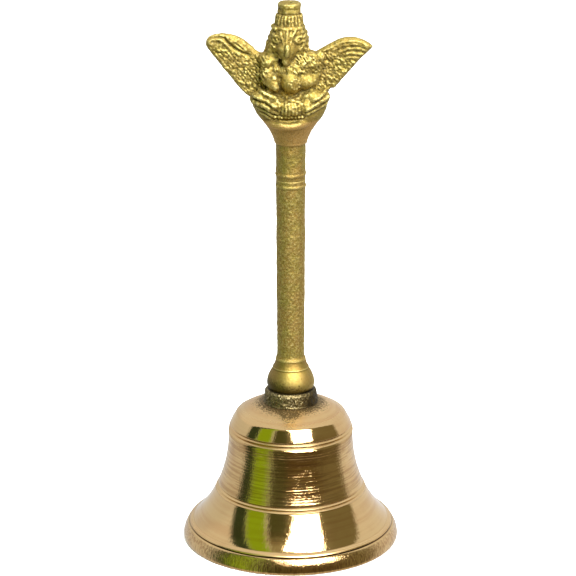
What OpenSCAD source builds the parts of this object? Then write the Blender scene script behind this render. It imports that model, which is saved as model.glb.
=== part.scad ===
// Brass puja bell: a turned cup on a long cast handle that ends in a seated, winged, bird-headed figure.
// The bell stands on its lip. The origin is the centre of the lip's bottom plane, +Z is up,
// and the figure faces -Y. All lengths are millimetres.

/* [Cup] */
// Widest radius of the lip
lip_r = 33; // [32.5:0.1:33.5]
// Height of the thick lip, up to its ridge
lip_h = 6.3; // [6:0.1:6.6]
// Radius of the straight waist
waist_r = 19.05; // [18.8:0.05:19.3]
// Height at which the flare ends and the waist begins
waist_z = 34; // [33.5:0.1:34.5]
// Height of the flat crown that the collar sits on
crown_z = 44.3; // [44:0.1:44.6]
// Wall thickness at the waist
cup_wall = 2.2; // [1.8:0.1:2.4]
// Height of the bead above the flare
low_bead_z = 16.75; // [16.5:0.05:17]
// Height of the bead at the waist
high_bead_z = 35.8; // [35.5:0.05:36]
// Radius of each fine ridge in a bead
ridge_r = 0.5; // [0.4:0.05:0.6]

/* [Handle] */
// Radius at the top of the rough collar
collar_r = 7.5; // [7:0.1:8]
// Height of the rough collar
collar_h = 4.65; // [4.5:0.05:4.8]
// Widest radius of the bulb that sits on the collar
bulb_r = 7.1; // [6.8:0.1:7.4]
// Radius of the grip where it leaves the bulb
grip_r = 4.15; // [4:0.05:4.3]
// Radius of the grip where it meets the figure
grip_top_r = 4.5; // [4.4:0.05:4.7]
// Height of the seam between the grip and the figure
seam_z = 114.3; // [114:0.1:114.6]

/* [Figure] */
// Height of the crown's top above the lip plane
top_z = 168.4; // [167.5:0.1:169]
// Half-width of the seat under the knees
seat_r = 11.2; // [10.8:0.1:11.6]
// Half-depth of the seat, front to back
seat_depth = 8; // [7:0.5:9]
// Thickness of the wing plates
wing_t = 2.6; // [2:0.2:3.2]

/* [Clapper] */
// Radius of the eye bolt's thread
bolt_r = 2; // [1.8:0.1:2.2]
// Radius of the clapper ball
ball_r = 7; // [6:0.5:7]
// Height of the ball's centre at rest
ball_z = 10.5; // [10.5:0.5:11.5]
// Wire radius of the eye bolt and of the clapper rod
wire_r = 0.9; // [0.8:0.05:0.9]
// Wire radius of the link
link_wire_r = 0.8; // [0.7:0.05:0.8]

/* [Hidden] */
$fn = 64;
overlap = 0.2;

// Cup: the inner wall follows the outer one and thickens towards the lip.
curve_steps = 12;
inner_crown_z = crown_z - 2.6;
inner_waist_r = waist_r - cup_wall;
bolt_hole_r = bolt_r + 0.2;
ridge_gap = 0.9;

// Handle
bulb_z = crown_z + collar_h;
bolt_top_z = bulb_z + 13;
spigot_r = 2.4;
spigot_len = 7.5;
thread_gap = 0.05;
socket_gap = 0.1;

// Hanger: washer and nut under the crown, then three loops that hang in one another.
washer_t = 0.8;
nut_h = 2.8;
nut_flats = 7;
nut_z = inner_crown_z - washer_t - nut_h;
eye_loop_r = 2.8;
link_loop_r = 3.6;
rod_loop_r = 2.4;
loop_gap = 0.25;
eye_z = nut_z - 0.5 - wire_r - eye_loop_r;
link_pivot_z = eye_z - eye_loop_r;
link_z = link_pivot_z + wire_r + link_wire_r + loop_gap - link_loop_r;
rod_pivot_z = link_z - link_loop_r;
rod_loop_z = rod_pivot_z + wire_r + link_wire_r + loop_gap - rod_loop_r;
ball_flat_r = 2.2;
peen_h = 0.7;
ball_half_h = sqrt(ball_r * ball_r - ball_flat_r * ball_flat_r);

// Figure: round numbers for the body, then each wing's outline from its root round its tip.
neck_end_z = 124.5;
seat_z = 136.5;
flare_steps = 5;
figure_fn = 20;
hip_z = 140;
crown_x = -0.7;
head_x = -1.2;
left_wing = [[-5, 152], [-9.5, 152.8], [-12, 155.5], [-15.2, 157.8], [-18.8, 158.5], [-22.4, 158.3],
             [-24.5, 157], [-24.8, 155], [-23, 152.2], [-17.3, 145], [-14.4, 141.4], [-11.5, 138.8], [-6, 138]];
right_wing = [[5, 152], [7, 153], [10.5, 155], [14.7, 157.1], [17.8, 157.3], [21.4, 156.5],
              [23.7, 154.8], [20.4, 151], [15.3, 145.1], [12.4, 141.4], [10.8, 140], [6, 138]];

// A point on the cubic curve with control points a, b, c and d, and a list of them from start to end.
function curve_point(a, b, c, d, t) =
    pow(1 - t, 3) * a + 3 * pow(1 - t, 2) * t * b + 3 * (1 - t) * t * t * c + t * t * t * d;
function curve(a, b, c, d) = [for (i = [0:curve_steps]) curve_point(a, b, c, d, i / curve_steps)];

// Radius of the handle's flare at a share t of the way from the neck up to the seat.
function flare_r(t) = grip_top_r + (seat_r - grip_top_r) * pow(t, 1.5);
function flare_depth(t) = grip_top_r + (seat_depth - grip_top_r) * pow(t, 1.5);

function outer_wall() = concat(
    [[lip_r - 3.4, 0], [lip_r - 0.8, 0], [lip_r - 0.1, 0.8], [lip_r, 1.7], [lip_r - 0.3, 3]],
    [[lip_r - 1.4, 4.7], [lip_r - 2.4, 5.6]],
    curve([lip_r - 3, lip_h], [lip_r - 6.6, lip_h + 2.3], [waist_r, 20.2], [waist_r, waist_z]),
    curve([waist_r - 0.3, waist_z + 1.5], [waist_r - 0.3, 39.3], [10, crown_z - 0.3], [8.9, crown_z]));

function inner_wall() = concat(
    [[0, inner_crown_z]],
    curve([7.5, inner_crown_z], [9.5, inner_crown_z], [inner_waist_r - 0.3, 38], [inner_waist_r, waist_z - 0.5]),
    curve([inner_waist_r, waist_z - 1], [inner_waist_r, 19.2], [lip_r - 8.4, 6.6], [lip_r - 4.1, 1]));

// A pair of fine raised rings with a groove between them.
module bead(r, z) {
    for (side = [-0.5, 0.5])
        translate([0, 0, z + side * ridge_gap])
            rotate_extrude()
                translate([r - side * 0.5, 0]) circle(r = ridge_r, $fn = 24);
}

// A loop of round wire in the XZ plane.
module loop(loop_r, wire) {
    rotate([90, 0, 0])
        rotate_extrude()
            translate([loop_r, 0]) circle(r = wire, $fn = 32);
}

module bell_cup() {
    color([0.80, 0.66, 0.42])
        difference() {
            union() {
                rotate_extrude() polygon(concat(outer_wall(), [[0, crown_z]], inner_wall()));
                bead(waist_r + 3.55, low_bead_z);
                bead(waist_r - 0.45, high_bead_z);
            }
            translate([0, 0, inner_crown_z - 1]) cylinder(r = bolt_hole_r, h = 5);
        }
}

module neck_collar() {
    color([0.32, 0.29, 0.18])
        difference() {
            rotate_extrude()
                polygon([[0, crown_z], [collar_r + 1.2, crown_z], [collar_r + 1, crown_z + 0.7],
                         [collar_r + 0.4, crown_z + 2.1], [collar_r, bulb_z - 0.9],
                         [collar_r - 0.1, bulb_z], [0, bulb_z]]);
            translate([0, 0, crown_z - 1]) cylinder(r = bolt_hole_r, h = collar_h + 2);
        }
}

module handle_grip() {
    bulb = curve([bulb_r - 0.9, bulb_z], [bulb_r + 0.35, bulb_z + 1.2], [bulb_r + 0.2, bulb_z + 3.2],
                 [bulb_r - 1.8, bulb_z + 6]);
    throat = curve([bulb_r - 1.8, bulb_z + 6], [grip_r + 0.6, bulb_z + 7], [grip_r, bulb_z + 8.5],
                   [grip_r, bulb_z + 11]);
    ring = [[grip_top_r - 0.1, seam_z - 2.6], [grip_top_r + 0.15, seam_z - 2.3],
            [grip_top_r + 0.15, seam_z - 1.1], [grip_top_r - 0.1, seam_z - 0.8]];
    color([0.60, 0.50, 0.26])
        difference() {
            rotate_extrude()
                polygon(concat([[0, bulb_z]], bulb, throat, ring, [[grip_top_r, seam_z], [0, seam_z]]));
            translate([0, 0, bulb_z - 1]) cylinder(r = bolt_r + thread_gap, h = bolt_top_z + 2 - bulb_z);
            translate([0, 0, seam_z - spigot_len - 0.5])
                cylinder(r = spigot_r + socket_gap, h = spigot_len + 1.5);
        }
}

module limb(from, from_r, to, to_r) {
    hull() {
        translate(from) sphere(r = from_r);
        translate(to) sphere(r = to_r);
    }
}

module wing(outline) {
    translate([0, wing_t, 0])
        rotate([90, 0, 0])
            linear_extrude(wing_t) polygon(outline);
}

module wing_edge(outline, first, last) {
    for (i = [first:2:last - 2])
        limb([outline[i][0], wing_t / 2, outline[i][1] - 1.6], 1.6,
             [outline[i + 2][0], wing_t / 2, outline[i + 2][1] - 1.6], 1.6);
}

module seat_slice(t) {
    translate([0, 0, neck_end_z + (seat_z - neck_end_z) * t])
        scale([1, flare_depth(t) / flare_r(t), 1])
            cylinder(r = flare_r(t), h = 0.1, $fn = 32);
}

module figure_base() {
    translate([0, 0, seam_z - spigot_len]) cylinder(r = spigot_r, h = spigot_len + overlap, $fn = 32);
    translate([0, 0, seam_z]) cylinder(r = grip_top_r, h = neck_end_z - seam_z + overlap, $fn = 32);
    translate([0, 0, seam_z + 0.9]) cylinder(r = grip_top_r + 0.2, h = 1.3, $fn = 32);
    for (i = [0:flare_steps - 1])
        hull() {
            seat_slice(i / flare_steps);
            seat_slice((i + 1) / flare_steps);
        }
}

module figure_body() {
    for (side = [-1, 1]) {
        limb([side * 3, 0, hip_z - 1], 3, [side * 9.4, -2.5, 136.6], 2.3);
        limb([side * 9.2, -3, 136.4], 1.9, [side * 1.2, -7.2, 133.6], 1.7);
        limb([side * 8.6 - 0.8, -1, 150.3], 2.3, [side * 7.6, -3.2, 144.6], 2);
        limb([side * 7.6, -3.2, 144.6], 2, [side * 1.6, -6.2, 142.6], 1.9);
    }
    translate([-0.4, 0, 141]) scale([1, 0.7, 0.75]) sphere(r = 8.2);
    translate([-0.6, 0.4, 147.6]) scale([1, 0.62, 0.85]) sphere(r = 8.4);
}

module figure_head() {
    translate([head_x, -0.5, 155]) scale([1, 0.85, 0.85]) sphere(r = 6.6);
    limb([head_x, -5.2, 154.2], 1.9, [head_x + 0.3, -6.6, 150.2], 1.1);
    translate([crown_x, 0, 158]) cylinder(r1 = 5.8, r2 = 4.9, h = 2.6);
    translate([crown_x, 0, 160.4]) cylinder(r1 = 4.3, r2 = 3.8, h = 4.8);
    translate([crown_x + 0.3, 0, 165]) cylinder(r1 = 3.9, r2 = 3.2, h = top_z - 165);
}

module finial_figure() {
    color([0.72, 0.60, 0.28])
        union() {
            $fn = figure_fn;
            figure_base();
            figure_body();
            figure_head();
            wing(left_wing);
            wing(right_wing);
            wing_edge(left_wing, 1, 5);
            wing_edge(right_wing, 1, 5);
        }
}

module eye_bolt() {
    color([0.55, 0.55, 0.57])
        union() {
            translate([0, 0, eye_z]) loop(eye_loop_r, wire_r);
            translate([0, 0, eye_z + eye_loop_r]) cylinder(r = bolt_r, h = bolt_top_z - eye_z - eye_loop_r);
        }
}

module crown_washer() {
    color([0.62, 0.62, 0.64])
        translate([0, 0, inner_crown_z - washer_t])
            difference() {
                cylinder(r = 5.5, h = washer_t);
                translate([0, 0, -1]) cylinder(r = bolt_hole_r, h = washer_t + 2);
            }
}

module crown_nut() {
    color([0.58, 0.58, 0.60])
        translate([0, 0, nut_z])
            difference() {
                cylinder(r = nut_flats / 2 / cos(30), h = nut_h, $fn = 6);
                translate([0, 0, -1]) cylinder(r = bolt_r + thread_gap, h = nut_h + 2);
            }
}

module wire_link() {
    color([0.50, 0.50, 0.52])
        translate([0, 0, link_z])
            rotate([0, 0, 90]) loop(link_loop_r, link_wire_r);
}

module clapper_rod() {
    rod_top_z = rod_loop_z - rod_loop_r;
    ball_base_z = ball_z - ball_half_h;
    color([0.50, 0.50, 0.52])
        union() {
            translate([0, 0, rod_loop_z]) loop(rod_loop_r, wire_r);
            translate([0, 0, ball_base_z - overlap]) cylinder(r = wire_r, h = rod_top_z - ball_base_z + overlap);
            translate([0, 0, ball_base_z - peen_h]) cylinder(r = ball_flat_r - 0.4, h = peen_h);
        }
}

module clapper_ball() {
    color([0.74, 0.60, 0.32])
        translate([0, 0, ball_z])
            difference() {
                intersection() {
                    sphere(r = ball_r);
                    cylinder(r = ball_r + 1, h = 2 * ball_half_h, center = true);
                }
                cylinder(r = wire_r + thread_gap, h = 3 * ball_r, center = true);
            }
}

bell_cup();
neck_collar();
handle_grip();
finial_figure();
eye_bolt();
crown_washer();
crown_nut();
wire_link();
clapper_rod();
clapper_ball();
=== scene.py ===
# %% [markdown]
# # A brass puja bell
# The real bell is a lathe-turned brass cup, a rough cast collar, a long sand-cast grip and a seated winged
# figure, with a clapper hanging inside on wire loops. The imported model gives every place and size, so this
# script only makes the looks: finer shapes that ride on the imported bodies, and the finish of each metal.

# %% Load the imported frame
import math
import bpy
import numpy as np
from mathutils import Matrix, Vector


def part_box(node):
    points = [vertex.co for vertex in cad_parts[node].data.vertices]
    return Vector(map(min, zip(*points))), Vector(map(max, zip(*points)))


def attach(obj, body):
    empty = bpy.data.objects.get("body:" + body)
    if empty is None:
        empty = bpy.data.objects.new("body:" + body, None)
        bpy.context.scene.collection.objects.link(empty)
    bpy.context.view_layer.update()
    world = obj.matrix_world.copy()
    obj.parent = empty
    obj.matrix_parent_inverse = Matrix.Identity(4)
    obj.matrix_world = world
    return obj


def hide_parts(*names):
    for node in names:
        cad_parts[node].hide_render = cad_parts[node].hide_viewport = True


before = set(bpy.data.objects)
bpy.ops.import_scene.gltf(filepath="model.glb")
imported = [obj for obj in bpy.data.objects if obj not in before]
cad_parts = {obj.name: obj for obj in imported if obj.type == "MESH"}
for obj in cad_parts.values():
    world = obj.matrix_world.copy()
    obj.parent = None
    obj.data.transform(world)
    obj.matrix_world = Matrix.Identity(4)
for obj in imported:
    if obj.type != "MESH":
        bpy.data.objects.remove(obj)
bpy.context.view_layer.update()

scene = bpy.context.scene

# %% [markdown]
# ## Working in millimetres
# Small castings are easiest to think of in millimetres, so every shape below is worked out in millimetres and
# only turned into metres when its mesh is made. A helper fills a mesh from arrays, because a fine casting has
# too many points to add one by one.

# %% Mesh from arrays
MM = 0.001


def make_piece(name, points, faces):
    mesh = bpy.data.meshes.new(name)
    mesh.from_pydata((np.asarray(points, dtype=float) * MM).tolist(), [], faces)
    mesh.update()
    mesh.shade_smooth()
    piece = bpy.data.objects.new(name, mesh)
    scene.collection.objects.link(piece)
    return piece


def node_box(node):
    low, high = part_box(node)
    return np.array(low) / MM, np.array(high) / MM


cup_low, cup_high = node_box("bell_cup")
collar_high = node_box("neck_collar")[1]
grip_low, grip_high = node_box("handle_grip")
figure_high = node_box("finial_figure")[1]
print("cup", cup_low.round(2), cup_high.round(2))
print("grip from", grip_low[2].round(2), "to", grip_high[2].round(2), "figure top", figure_high[2].round(2))

# %% [markdown]
# ## Shader graphs as sums
# A procedural metal needs a lot of small arithmetic on masks. Wrapping a socket in a class with the usual
# operators lets it be written as a formula, and one method makes every other kind of node.

# %% Wires and graphs


class Wire:
    """An output socket that can be added, multiplied and so on."""

    def __init__(self, graph, socket):
        self.graph = graph
        self.socket = socket

    def sum_node(self, operation, first, second):
        return self.graph.node("ShaderNodeMath", {"operation": operation}, {0: first, 1: second})

    def __add__(self, other):
        return self.sum_node("ADD", self, other)

    def __radd__(self, other):
        return self.sum_node("ADD", other, self)

    def __sub__(self, other):
        return self.sum_node("SUBTRACT", self, other)

    def __rsub__(self, other):
        return self.sum_node("SUBTRACT", other, self)

    def __mul__(self, other):
        return self.sum_node("MULTIPLY", self, other)

    def __rmul__(self, other):
        return self.sum_node("MULTIPLY", other, self)


class Graph:
    """A node tree that grows one call at a time."""

    def __init__(self, tree):
        self.tree = tree

    def node(self, kind, settings=None, inputs=None, output=0):
        made = self.tree.nodes.new(kind)
        for name, value in (settings or {}).items():
            setattr(made, name, value)
        for name, value in (inputs or {}).items():
            if isinstance(value, Wire):
                self.tree.links.new(value.socket, made.inputs[name])
            else:
                made.inputs[name].default_value = value
        return Wire(self, made.outputs[output]) if made.outputs else None

    def split(self, place):
        """The x, y and z of a place, as three wires."""
        outputs = self.node("ShaderNodeSeparateXYZ", None, {0: place}).socket.node.outputs
        return [Wire(self, outputs[i]) for i in range(3)]

    def mix(self, mask, first, second):
        """Colour first where the mask is 0, second where it is 1."""
        return self.node("ShaderNodeMix", {"data_type": "RGBA"}, {0: mask, 6: first, 7: second}, output=2)

    def step(self, value, low, high):
        """A smooth step from 0 at low to 1 at high."""
        return self.node("ShaderNodeMapRange", {"interpolation_type": "SMOOTHSTEP"},
                         {0: value, 1: low, 2: high, 3: 0.0, 4: 1.0})

    def band(self, value, low, high, soft):
        """A mask that is 1 between low and high, with soft edges."""
        return self.step(value, low - soft, low + soft) * (1 - self.step(value, high - soft, high + soft))

    def noise(self, place, scale, detail=2.0, roughness=0.5):
        return self.node("ShaderNodeTexNoise", None,
                         {"Vector": place, "Scale": scale, "Detail": detail, "Roughness": roughness})


def grey(level):
    return (level, level, level, 1.0)


print("graph helpers ready")

# %% [markdown]
# ## Camera
# A long lens from a metre away, above the bell, looks down at it without bending its outline. The display
# transform is the plain one, so that white stays white and brass keeps its full colour.

# %% Camera
CAMERA_ELEVATION = 23.0
CAMERA_DISTANCE = 1.0
CAMERA_PITCH = 18.658
CAMERA_SIDE = -0.82
LENS = 202.07
SENSOR_WIDTH = 36.0
CLIP_END = 50.0

elevation = math.radians(CAMERA_ELEVATION)
camera_data = bpy.data.cameras.new("camera")
camera_data.lens = LENS
camera_data.sensor_width = SENSOR_WIDTH
camera_data.clip_end = CLIP_END
camera = bpy.data.objects.new("camera", camera_data)
camera_y = -CAMERA_DISTANCE * math.cos(elevation)
camera_z = CAMERA_DISTANCE * math.sin(elevation)
camera.location = (CAMERA_SIDE * MM, camera_y, camera_z)
camera.rotation_euler = (math.radians(90.0 - CAMERA_PITCH), 0.0, 0.0)
scene.collection.objects.link(camera)
scene.camera = camera
scene.view_settings.view_transform = "Standard"
print("camera at", [round(v, 3) for v in camera.location])

# %% [markdown]
# ## Surroundings
# Polished brass has no look of its own: it shows the room. The room here is a pale studio with a few tall
# things in front of the bell, so the World is painted by direction: a dark door, a green curtain, a brown
# wall, a pale floor below and pale walls everywhere else. What the camera sees directly stays white.

# %% World by direction
PALE_LEFT = (0.78, 0.80, 0.82, 1.0)
PALE_RIGHT = (0.94, 0.94, 0.96, 1.0)
PALE_FLOOR = (0.80, 0.78, 0.74, 1.0)
DARK_GREEN = (0.050, 0.076, 0.036, 1.0)
LEAF_GREEN = (0.34, 0.57, 0.02, 1.0)
DARK_OLIVE = (0.10, 0.107, 0.039, 1.0)
BROWN_WALL = (0.25, 0.225, 0.123, 1.0)
LIT_OLIVE = (0.36, 0.33, 0.19, 1.0)
DARK_WALL = (0.14, 0.105, 0.040, 1.0)
TALLEST = 70.0


def paint_world():
    world = bpy.data.worlds.new("studio")
    scene.world = world
    world.use_nodes = True
    tree = world.node_tree
    tree.nodes.clear()
    g = Graph(tree)
    direction = g.node("ShaderNodeTexCoord", None, None, output=0)
    x, y, z = g.split(direction)
    degrees = 180.0 / math.pi
    azimuth = x.sum_node("ARCTAN2", x, 0.0 - y) * degrees
    height = g.node("ShaderNodeMath", {"operation": "ARCSINE"}, {0: z}) * degrees
    colour = g.mix(g.step(azimuth, -60.0, 60.0), PALE_LEFT, PALE_RIGHT)
    colour = g.mix(g.step(height, 14.0, 32.0), colour, PALE_RIGHT)
    low_enough = 1 - g.step(height, TALLEST - 1.0, TALLEST + 1.0)
    wall = g.mix(g.step(height, 5.0, 38.0), DARK_WALL, BROWN_WALL)
    wall = g.mix(g.step(azimuth, 40.0, 75.0), wall, BROWN_WALL)
    colour = g.mix(g.band(azimuth, -34.0, 101.0, 2.0) * low_enough, colour, wall)
    olive = g.mix(g.step(height, 42.0, 60.0), DARK_OLIVE, LIT_OLIVE)
    colour = g.mix(g.band(azimuth, -36.0, -7.0, 4.0) * low_enough, colour, olive)
    colour = g.mix(g.band(azimuth, -70.0, -39.0, 4.0) * low_enough, colour, LEAF_GREEN)
    colour = g.mix(g.band(azimuth, -91.0, -70.0, 2.0) * low_enough, colour, DARK_GREEN)
    colour = g.mix(1 - g.step(height, -46.0, -30.0), colour, PALE_FLOOR)
    seen = g.node("ShaderNodeLightPath", None, None, output=0)
    colour = g.mix(seen, colour, grey(1.0))
    background = g.node("ShaderNodeBackground", None, {"Color": colour, "Strength": 1.0})
    g.node("ShaderNodeOutputWorld", None, {"Surface": background})


paint_world()
print("world painted, with", len(scene.world.node_tree.nodes), "nodes")

# %% [markdown]
# ## Lights and floor
# One large window-like softbox stands to the right of the camera: it is the white patch that runs down the
# cup. A second, weaker one from above keeps the floor white. The floor is a plain pale disc. Neither the disc
# nor the overhead light shows in the brass, because the painted room has its own floor and ceiling.

# %% Lights and floor
LIGHTS_AIM_Z = 0.03
FLOOR_RADIUS = 4.0
FLOOR_CORNERS = 64
FLOOR_GREY = 0.93
FLOOR_ROUGHNESS = 0.9


def soft_light(name, azimuth, height, distance, width, tall, watts):
    data = bpy.data.lights.new(name, "AREA")
    data.shape = "RECTANGLE"
    data.size = width
    data.size_y = tall
    data.energy = watts
    lamp = bpy.data.objects.new(name, data)
    a = math.radians(azimuth)
    h = math.radians(height)
    away = Vector((math.sin(a) * math.cos(h), -math.cos(a) * math.cos(h), math.sin(h)))
    middle = Vector((0.0, 0.0, LIGHTS_AIM_Z))
    lamp.location = middle + away * distance
    lamp.rotation_euler = (-away).to_track_quat("-Z", "Y").to_euler()
    scene.collection.objects.link(lamp)
    return lamp


soft_light("window", 24.0, 47.0, 1.6, 0.92, 1.15, 85.0)
overhead = soft_light("overhead", 0.0, 88.0, 2.4, 1.6, 1.6, 60.0)
overhead.visible_glossy = False

floor_points = [(0.0, 0.0, 0.0)]
for corner in range(FLOOR_CORNERS):
    turn = 2.0 * math.pi * corner / FLOOR_CORNERS
    floor_points.append((FLOOR_RADIUS / MM * math.cos(turn), FLOOR_RADIUS / MM * math.sin(turn), 0.0))
floor_faces = [(0, 1 + c, 1 + (c + 1) % FLOOR_CORNERS) for c in range(FLOOR_CORNERS)]
floor = make_piece("floor", floor_points, floor_faces)
floor.visible_glossy = False
pale = bpy.data.materials.new("pale_floor")
pale.use_nodes = True
pale.node_tree.nodes["Principled BSDF"].inputs["Base Color"].default_value = grey(FLOOR_GREY)
pale.node_tree.nodes["Principled BSDF"].inputs["Roughness"].default_value = FLOOR_ROUGHNESS
floor.data.materials.append(pale)
print("floor radius in m:", FLOOR_RADIUS)

# %% [markdown]
# ## Turned shapes
# Everything round here came off a lathe or out of a round mould, so its mesh is an outline of radius and
# height spun round the axis. A point on the axis becomes a single vertex. A touch function may then move the
# surface in or out, for grain or tool marks.

# %% Outlines and spinning
ON_AXIS = 1e-6


def curve(a, b, c, d, count):
    """Points along a cubic curve with control points a, b, c, d."""
    t = np.linspace(0.0, 1.0, count)[:, None]
    a, b, c, d = (np.array(p, dtype=float) for p in (a, b, c, d))
    return (1 - t) ** 3 * a + 3 * (1 - t) ** 2 * t * b + 3 * (1 - t) * t ** 2 * c + t ** 3 * d


def resample(outline, spacing):
    """The same outline with points no further apart than spacing."""
    outline = np.array(outline, dtype=float)
    points = [outline[:1]]
    for start, end in zip(outline[:-1], outline[1:]):
        parts = max(1, int(math.ceil(np.linalg.norm(end - start) / spacing)))
        shares = np.arange(1, parts + 1)[:, None] / parts
        points.append(start + (end - start) * shares)
    return np.concatenate(points)


def spin(outline, segments, closed, touch=None):
    """Points and faces of an outline spun round the Z axis. A closed outline joins its end to its start."""
    rows = len(outline)
    turns = 2 * np.pi * np.arange(segments) / segments
    radius = np.repeat(outline[:, 0][:, None], segments, axis=1)
    height = np.repeat(outline[:, 1][:, None], segments, axis=1)
    angle = np.repeat(turns[None, :], rows, axis=0)
    if touch is not None:
        radius, height = touch(radius, height, angle)
    grid = np.stack([radius * np.sin(angle), -radius * np.cos(angle), height], axis=-1)
    number = np.zeros((rows, segments), dtype=int)
    points = []
    count = 0
    for row in range(rows):
        if outline[row, 0] < ON_AXIS:
            number[row] = count
            points.append(grid[row].mean(axis=0)[None])
            count += 1
        else:
            number[row] = count + np.arange(segments)
            points.append(grid[row])
            count += segments
    faces = []
    row_pairs = [(r, r + 1) for r in range(rows - 1)] + ([(rows - 1, 0)] if closed else [])
    beside = np.roll(np.arange(segments), -1)
    for low, high in row_pairs:
        ring = np.stack([number[low], number[low][beside], number[high][beside], number[high]], axis=1)
        if outline[low, 0] < ON_AXIS:
            ring = ring[:, [0, 2, 3]]
        elif outline[high, 0] < ON_AXIS:
            ring = ring[:, :3]
        faces.extend(ring.tolist())
    return np.concatenate(points), faces


print("a quarter curve:", curve((1, 0), (1, 0.5), (0.5, 1), (0, 1), 3).round(2).tolist())

# %% [markdown]
# ## Grain
# Sand-cast metal is lumpy at several sizes. Value noise gives that: random numbers on a lattice, blended
# smoothly between the lattice points. The lattice comes from a seeded generator, so each run is the same.

# %% Value noise
LATTICE = 32
lattice = np.random.default_rng(7).uniform(-1.0, 1.0, (LATTICE, LATTICE, LATTICE)).astype(np.float32)


def lumps(x, y, z, size, shift=0.0):
    """Smooth noise from -1 to 1 whose lumps are about size millimetres across."""
    total = 0.0
    cells = []
    for value in (x, y, z):
        scaled = np.asarray(value, dtype=np.float32) / size + shift
        base = np.floor(scaled)
        part = scaled - base
        cells.append((base.astype(np.int64), part * part * (3.0 - 2.0 * part)))
    for corner in range(8):
        index = []
        weight = 1.0
        for axis, (base, part) in enumerate(cells):
            up = corner >> axis & 1
            index.append((base + up) % LATTICE)
            weight = weight * (part if up else 1.0 - part)
        total = total + weight * lattice[index[0], index[1], index[2]]
    return total


def mark_hollows(piece, points, faces, rounds):
    """Stores how hollow or proud each point is, from 0 (proud) to 1 (hollow), for the patina and the painted
    shade in hollows.
    """
    points = np.asarray(points, dtype=float)
    loops = np.array([face if len(face) == 4 else [*face, face[-1]] for face in faces])
    pairs = np.concatenate([np.stack([loops[:, i], loops[:, (i + 1) % 4]], axis=1) for i in range(4)])
    pairs = pairs[pairs[:, 0] != pairs[:, 1]]
    pairs = np.concatenate([pairs, pairs[:, ::-1]])
    count = np.bincount(pairs[:, 0], minlength=len(points))

    def around(values):
        if values.ndim == 1:
            return np.bincount(pairs[:, 0], values[pairs[:, 1]], len(points)) / count
        return np.stack([around(values[:, i]) for i in range(values.shape[1])], axis=1)

    normals = np.zeros(len(points) * 3)
    piece.data.vertices.foreach_get("normal", normals)
    normals = normals.reshape(-1, 3)
    relaxed = points
    for _ in range(rounds):
        relaxed = around(relaxed)
    hollow = ((relaxed - points) * normals).sum(axis=1)
    spread = np.percentile(np.abs(hollow - np.median(hollow)), 90) + 1e-6
    level = np.clip(0.5 + 0.4 * (hollow - np.median(hollow)) / spread, 0.0, 1.0)
    store(piece, "hollow", level)


def store(piece, name, values):
    """Keeps one number at each point of a mesh, for its material."""
    mark = piece.data.attributes.new(name, "FLOAT", "POINT")
    mark.data.foreach_set("value", np.asarray(values, dtype=np.float32))


print("noise at one place:", round(float(lumps(1.0, 2.0, 3.0, 0.7)), 3))

# %% [markdown]
# ## The cup
# The cup is a heavy casting skimmed on a lathe. Its outline is a rounded lip, a sharp flare, a straight
# waist and a dome, and each bead is two little teeth: a short step out, then a slope back that catches light
# from above. The lathe tool leaves fine rings, strongest on the waist, which the touch function adds. Points
# on the inner wall are marked, because nobody polished it and its finish is duller.

# %% Cup outline and mesh
LIP_R = cup_high[0]
CROWN_Z = cup_high[2]
DOME_TOP_Z = CROWN_Z - 0.45
WAIST_R = 19.05
WAIST_Z = 34.0
LOW_BEAD_Z = 15.85
LOW_BEAD_TOP_Z = 17.65
RINGS_FOOT_Z = 17.8
RINGS_TOP_Z = 34.6
BEAD_POINTS = 31
BEAD_BASE = 0.85
INNER_R = 16.85
OUTER_WALL_R = 17.0
CUP_WALL = 1.3
CUP_INSIDE_TOP_Z = 40.0
BOLT_HOLE_R = 2.2
INNER_CROWN_Z = CROWN_Z - 2.6
WAIST_RING_PITCH = 0.82
CUP_SEGMENTS = 210


def bead(start, end, tooth):
    """Two teeth between two outline points, each standing tooth millimetres proud."""
    share = np.linspace(0.0, 1.0, BEAD_POINTS)[1:-1]
    within = share * 2 % 1.0
    rise = np.where(within < 0.1, within / 0.1, (1 - within) / 0.9)
    radius = start[0] + (end[0] - start[0]) * share + tooth * (rise - BEAD_BASE)
    height = start[1] + (end[1] - start[1]) * share
    return np.stack([radius, height], axis=1)


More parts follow.
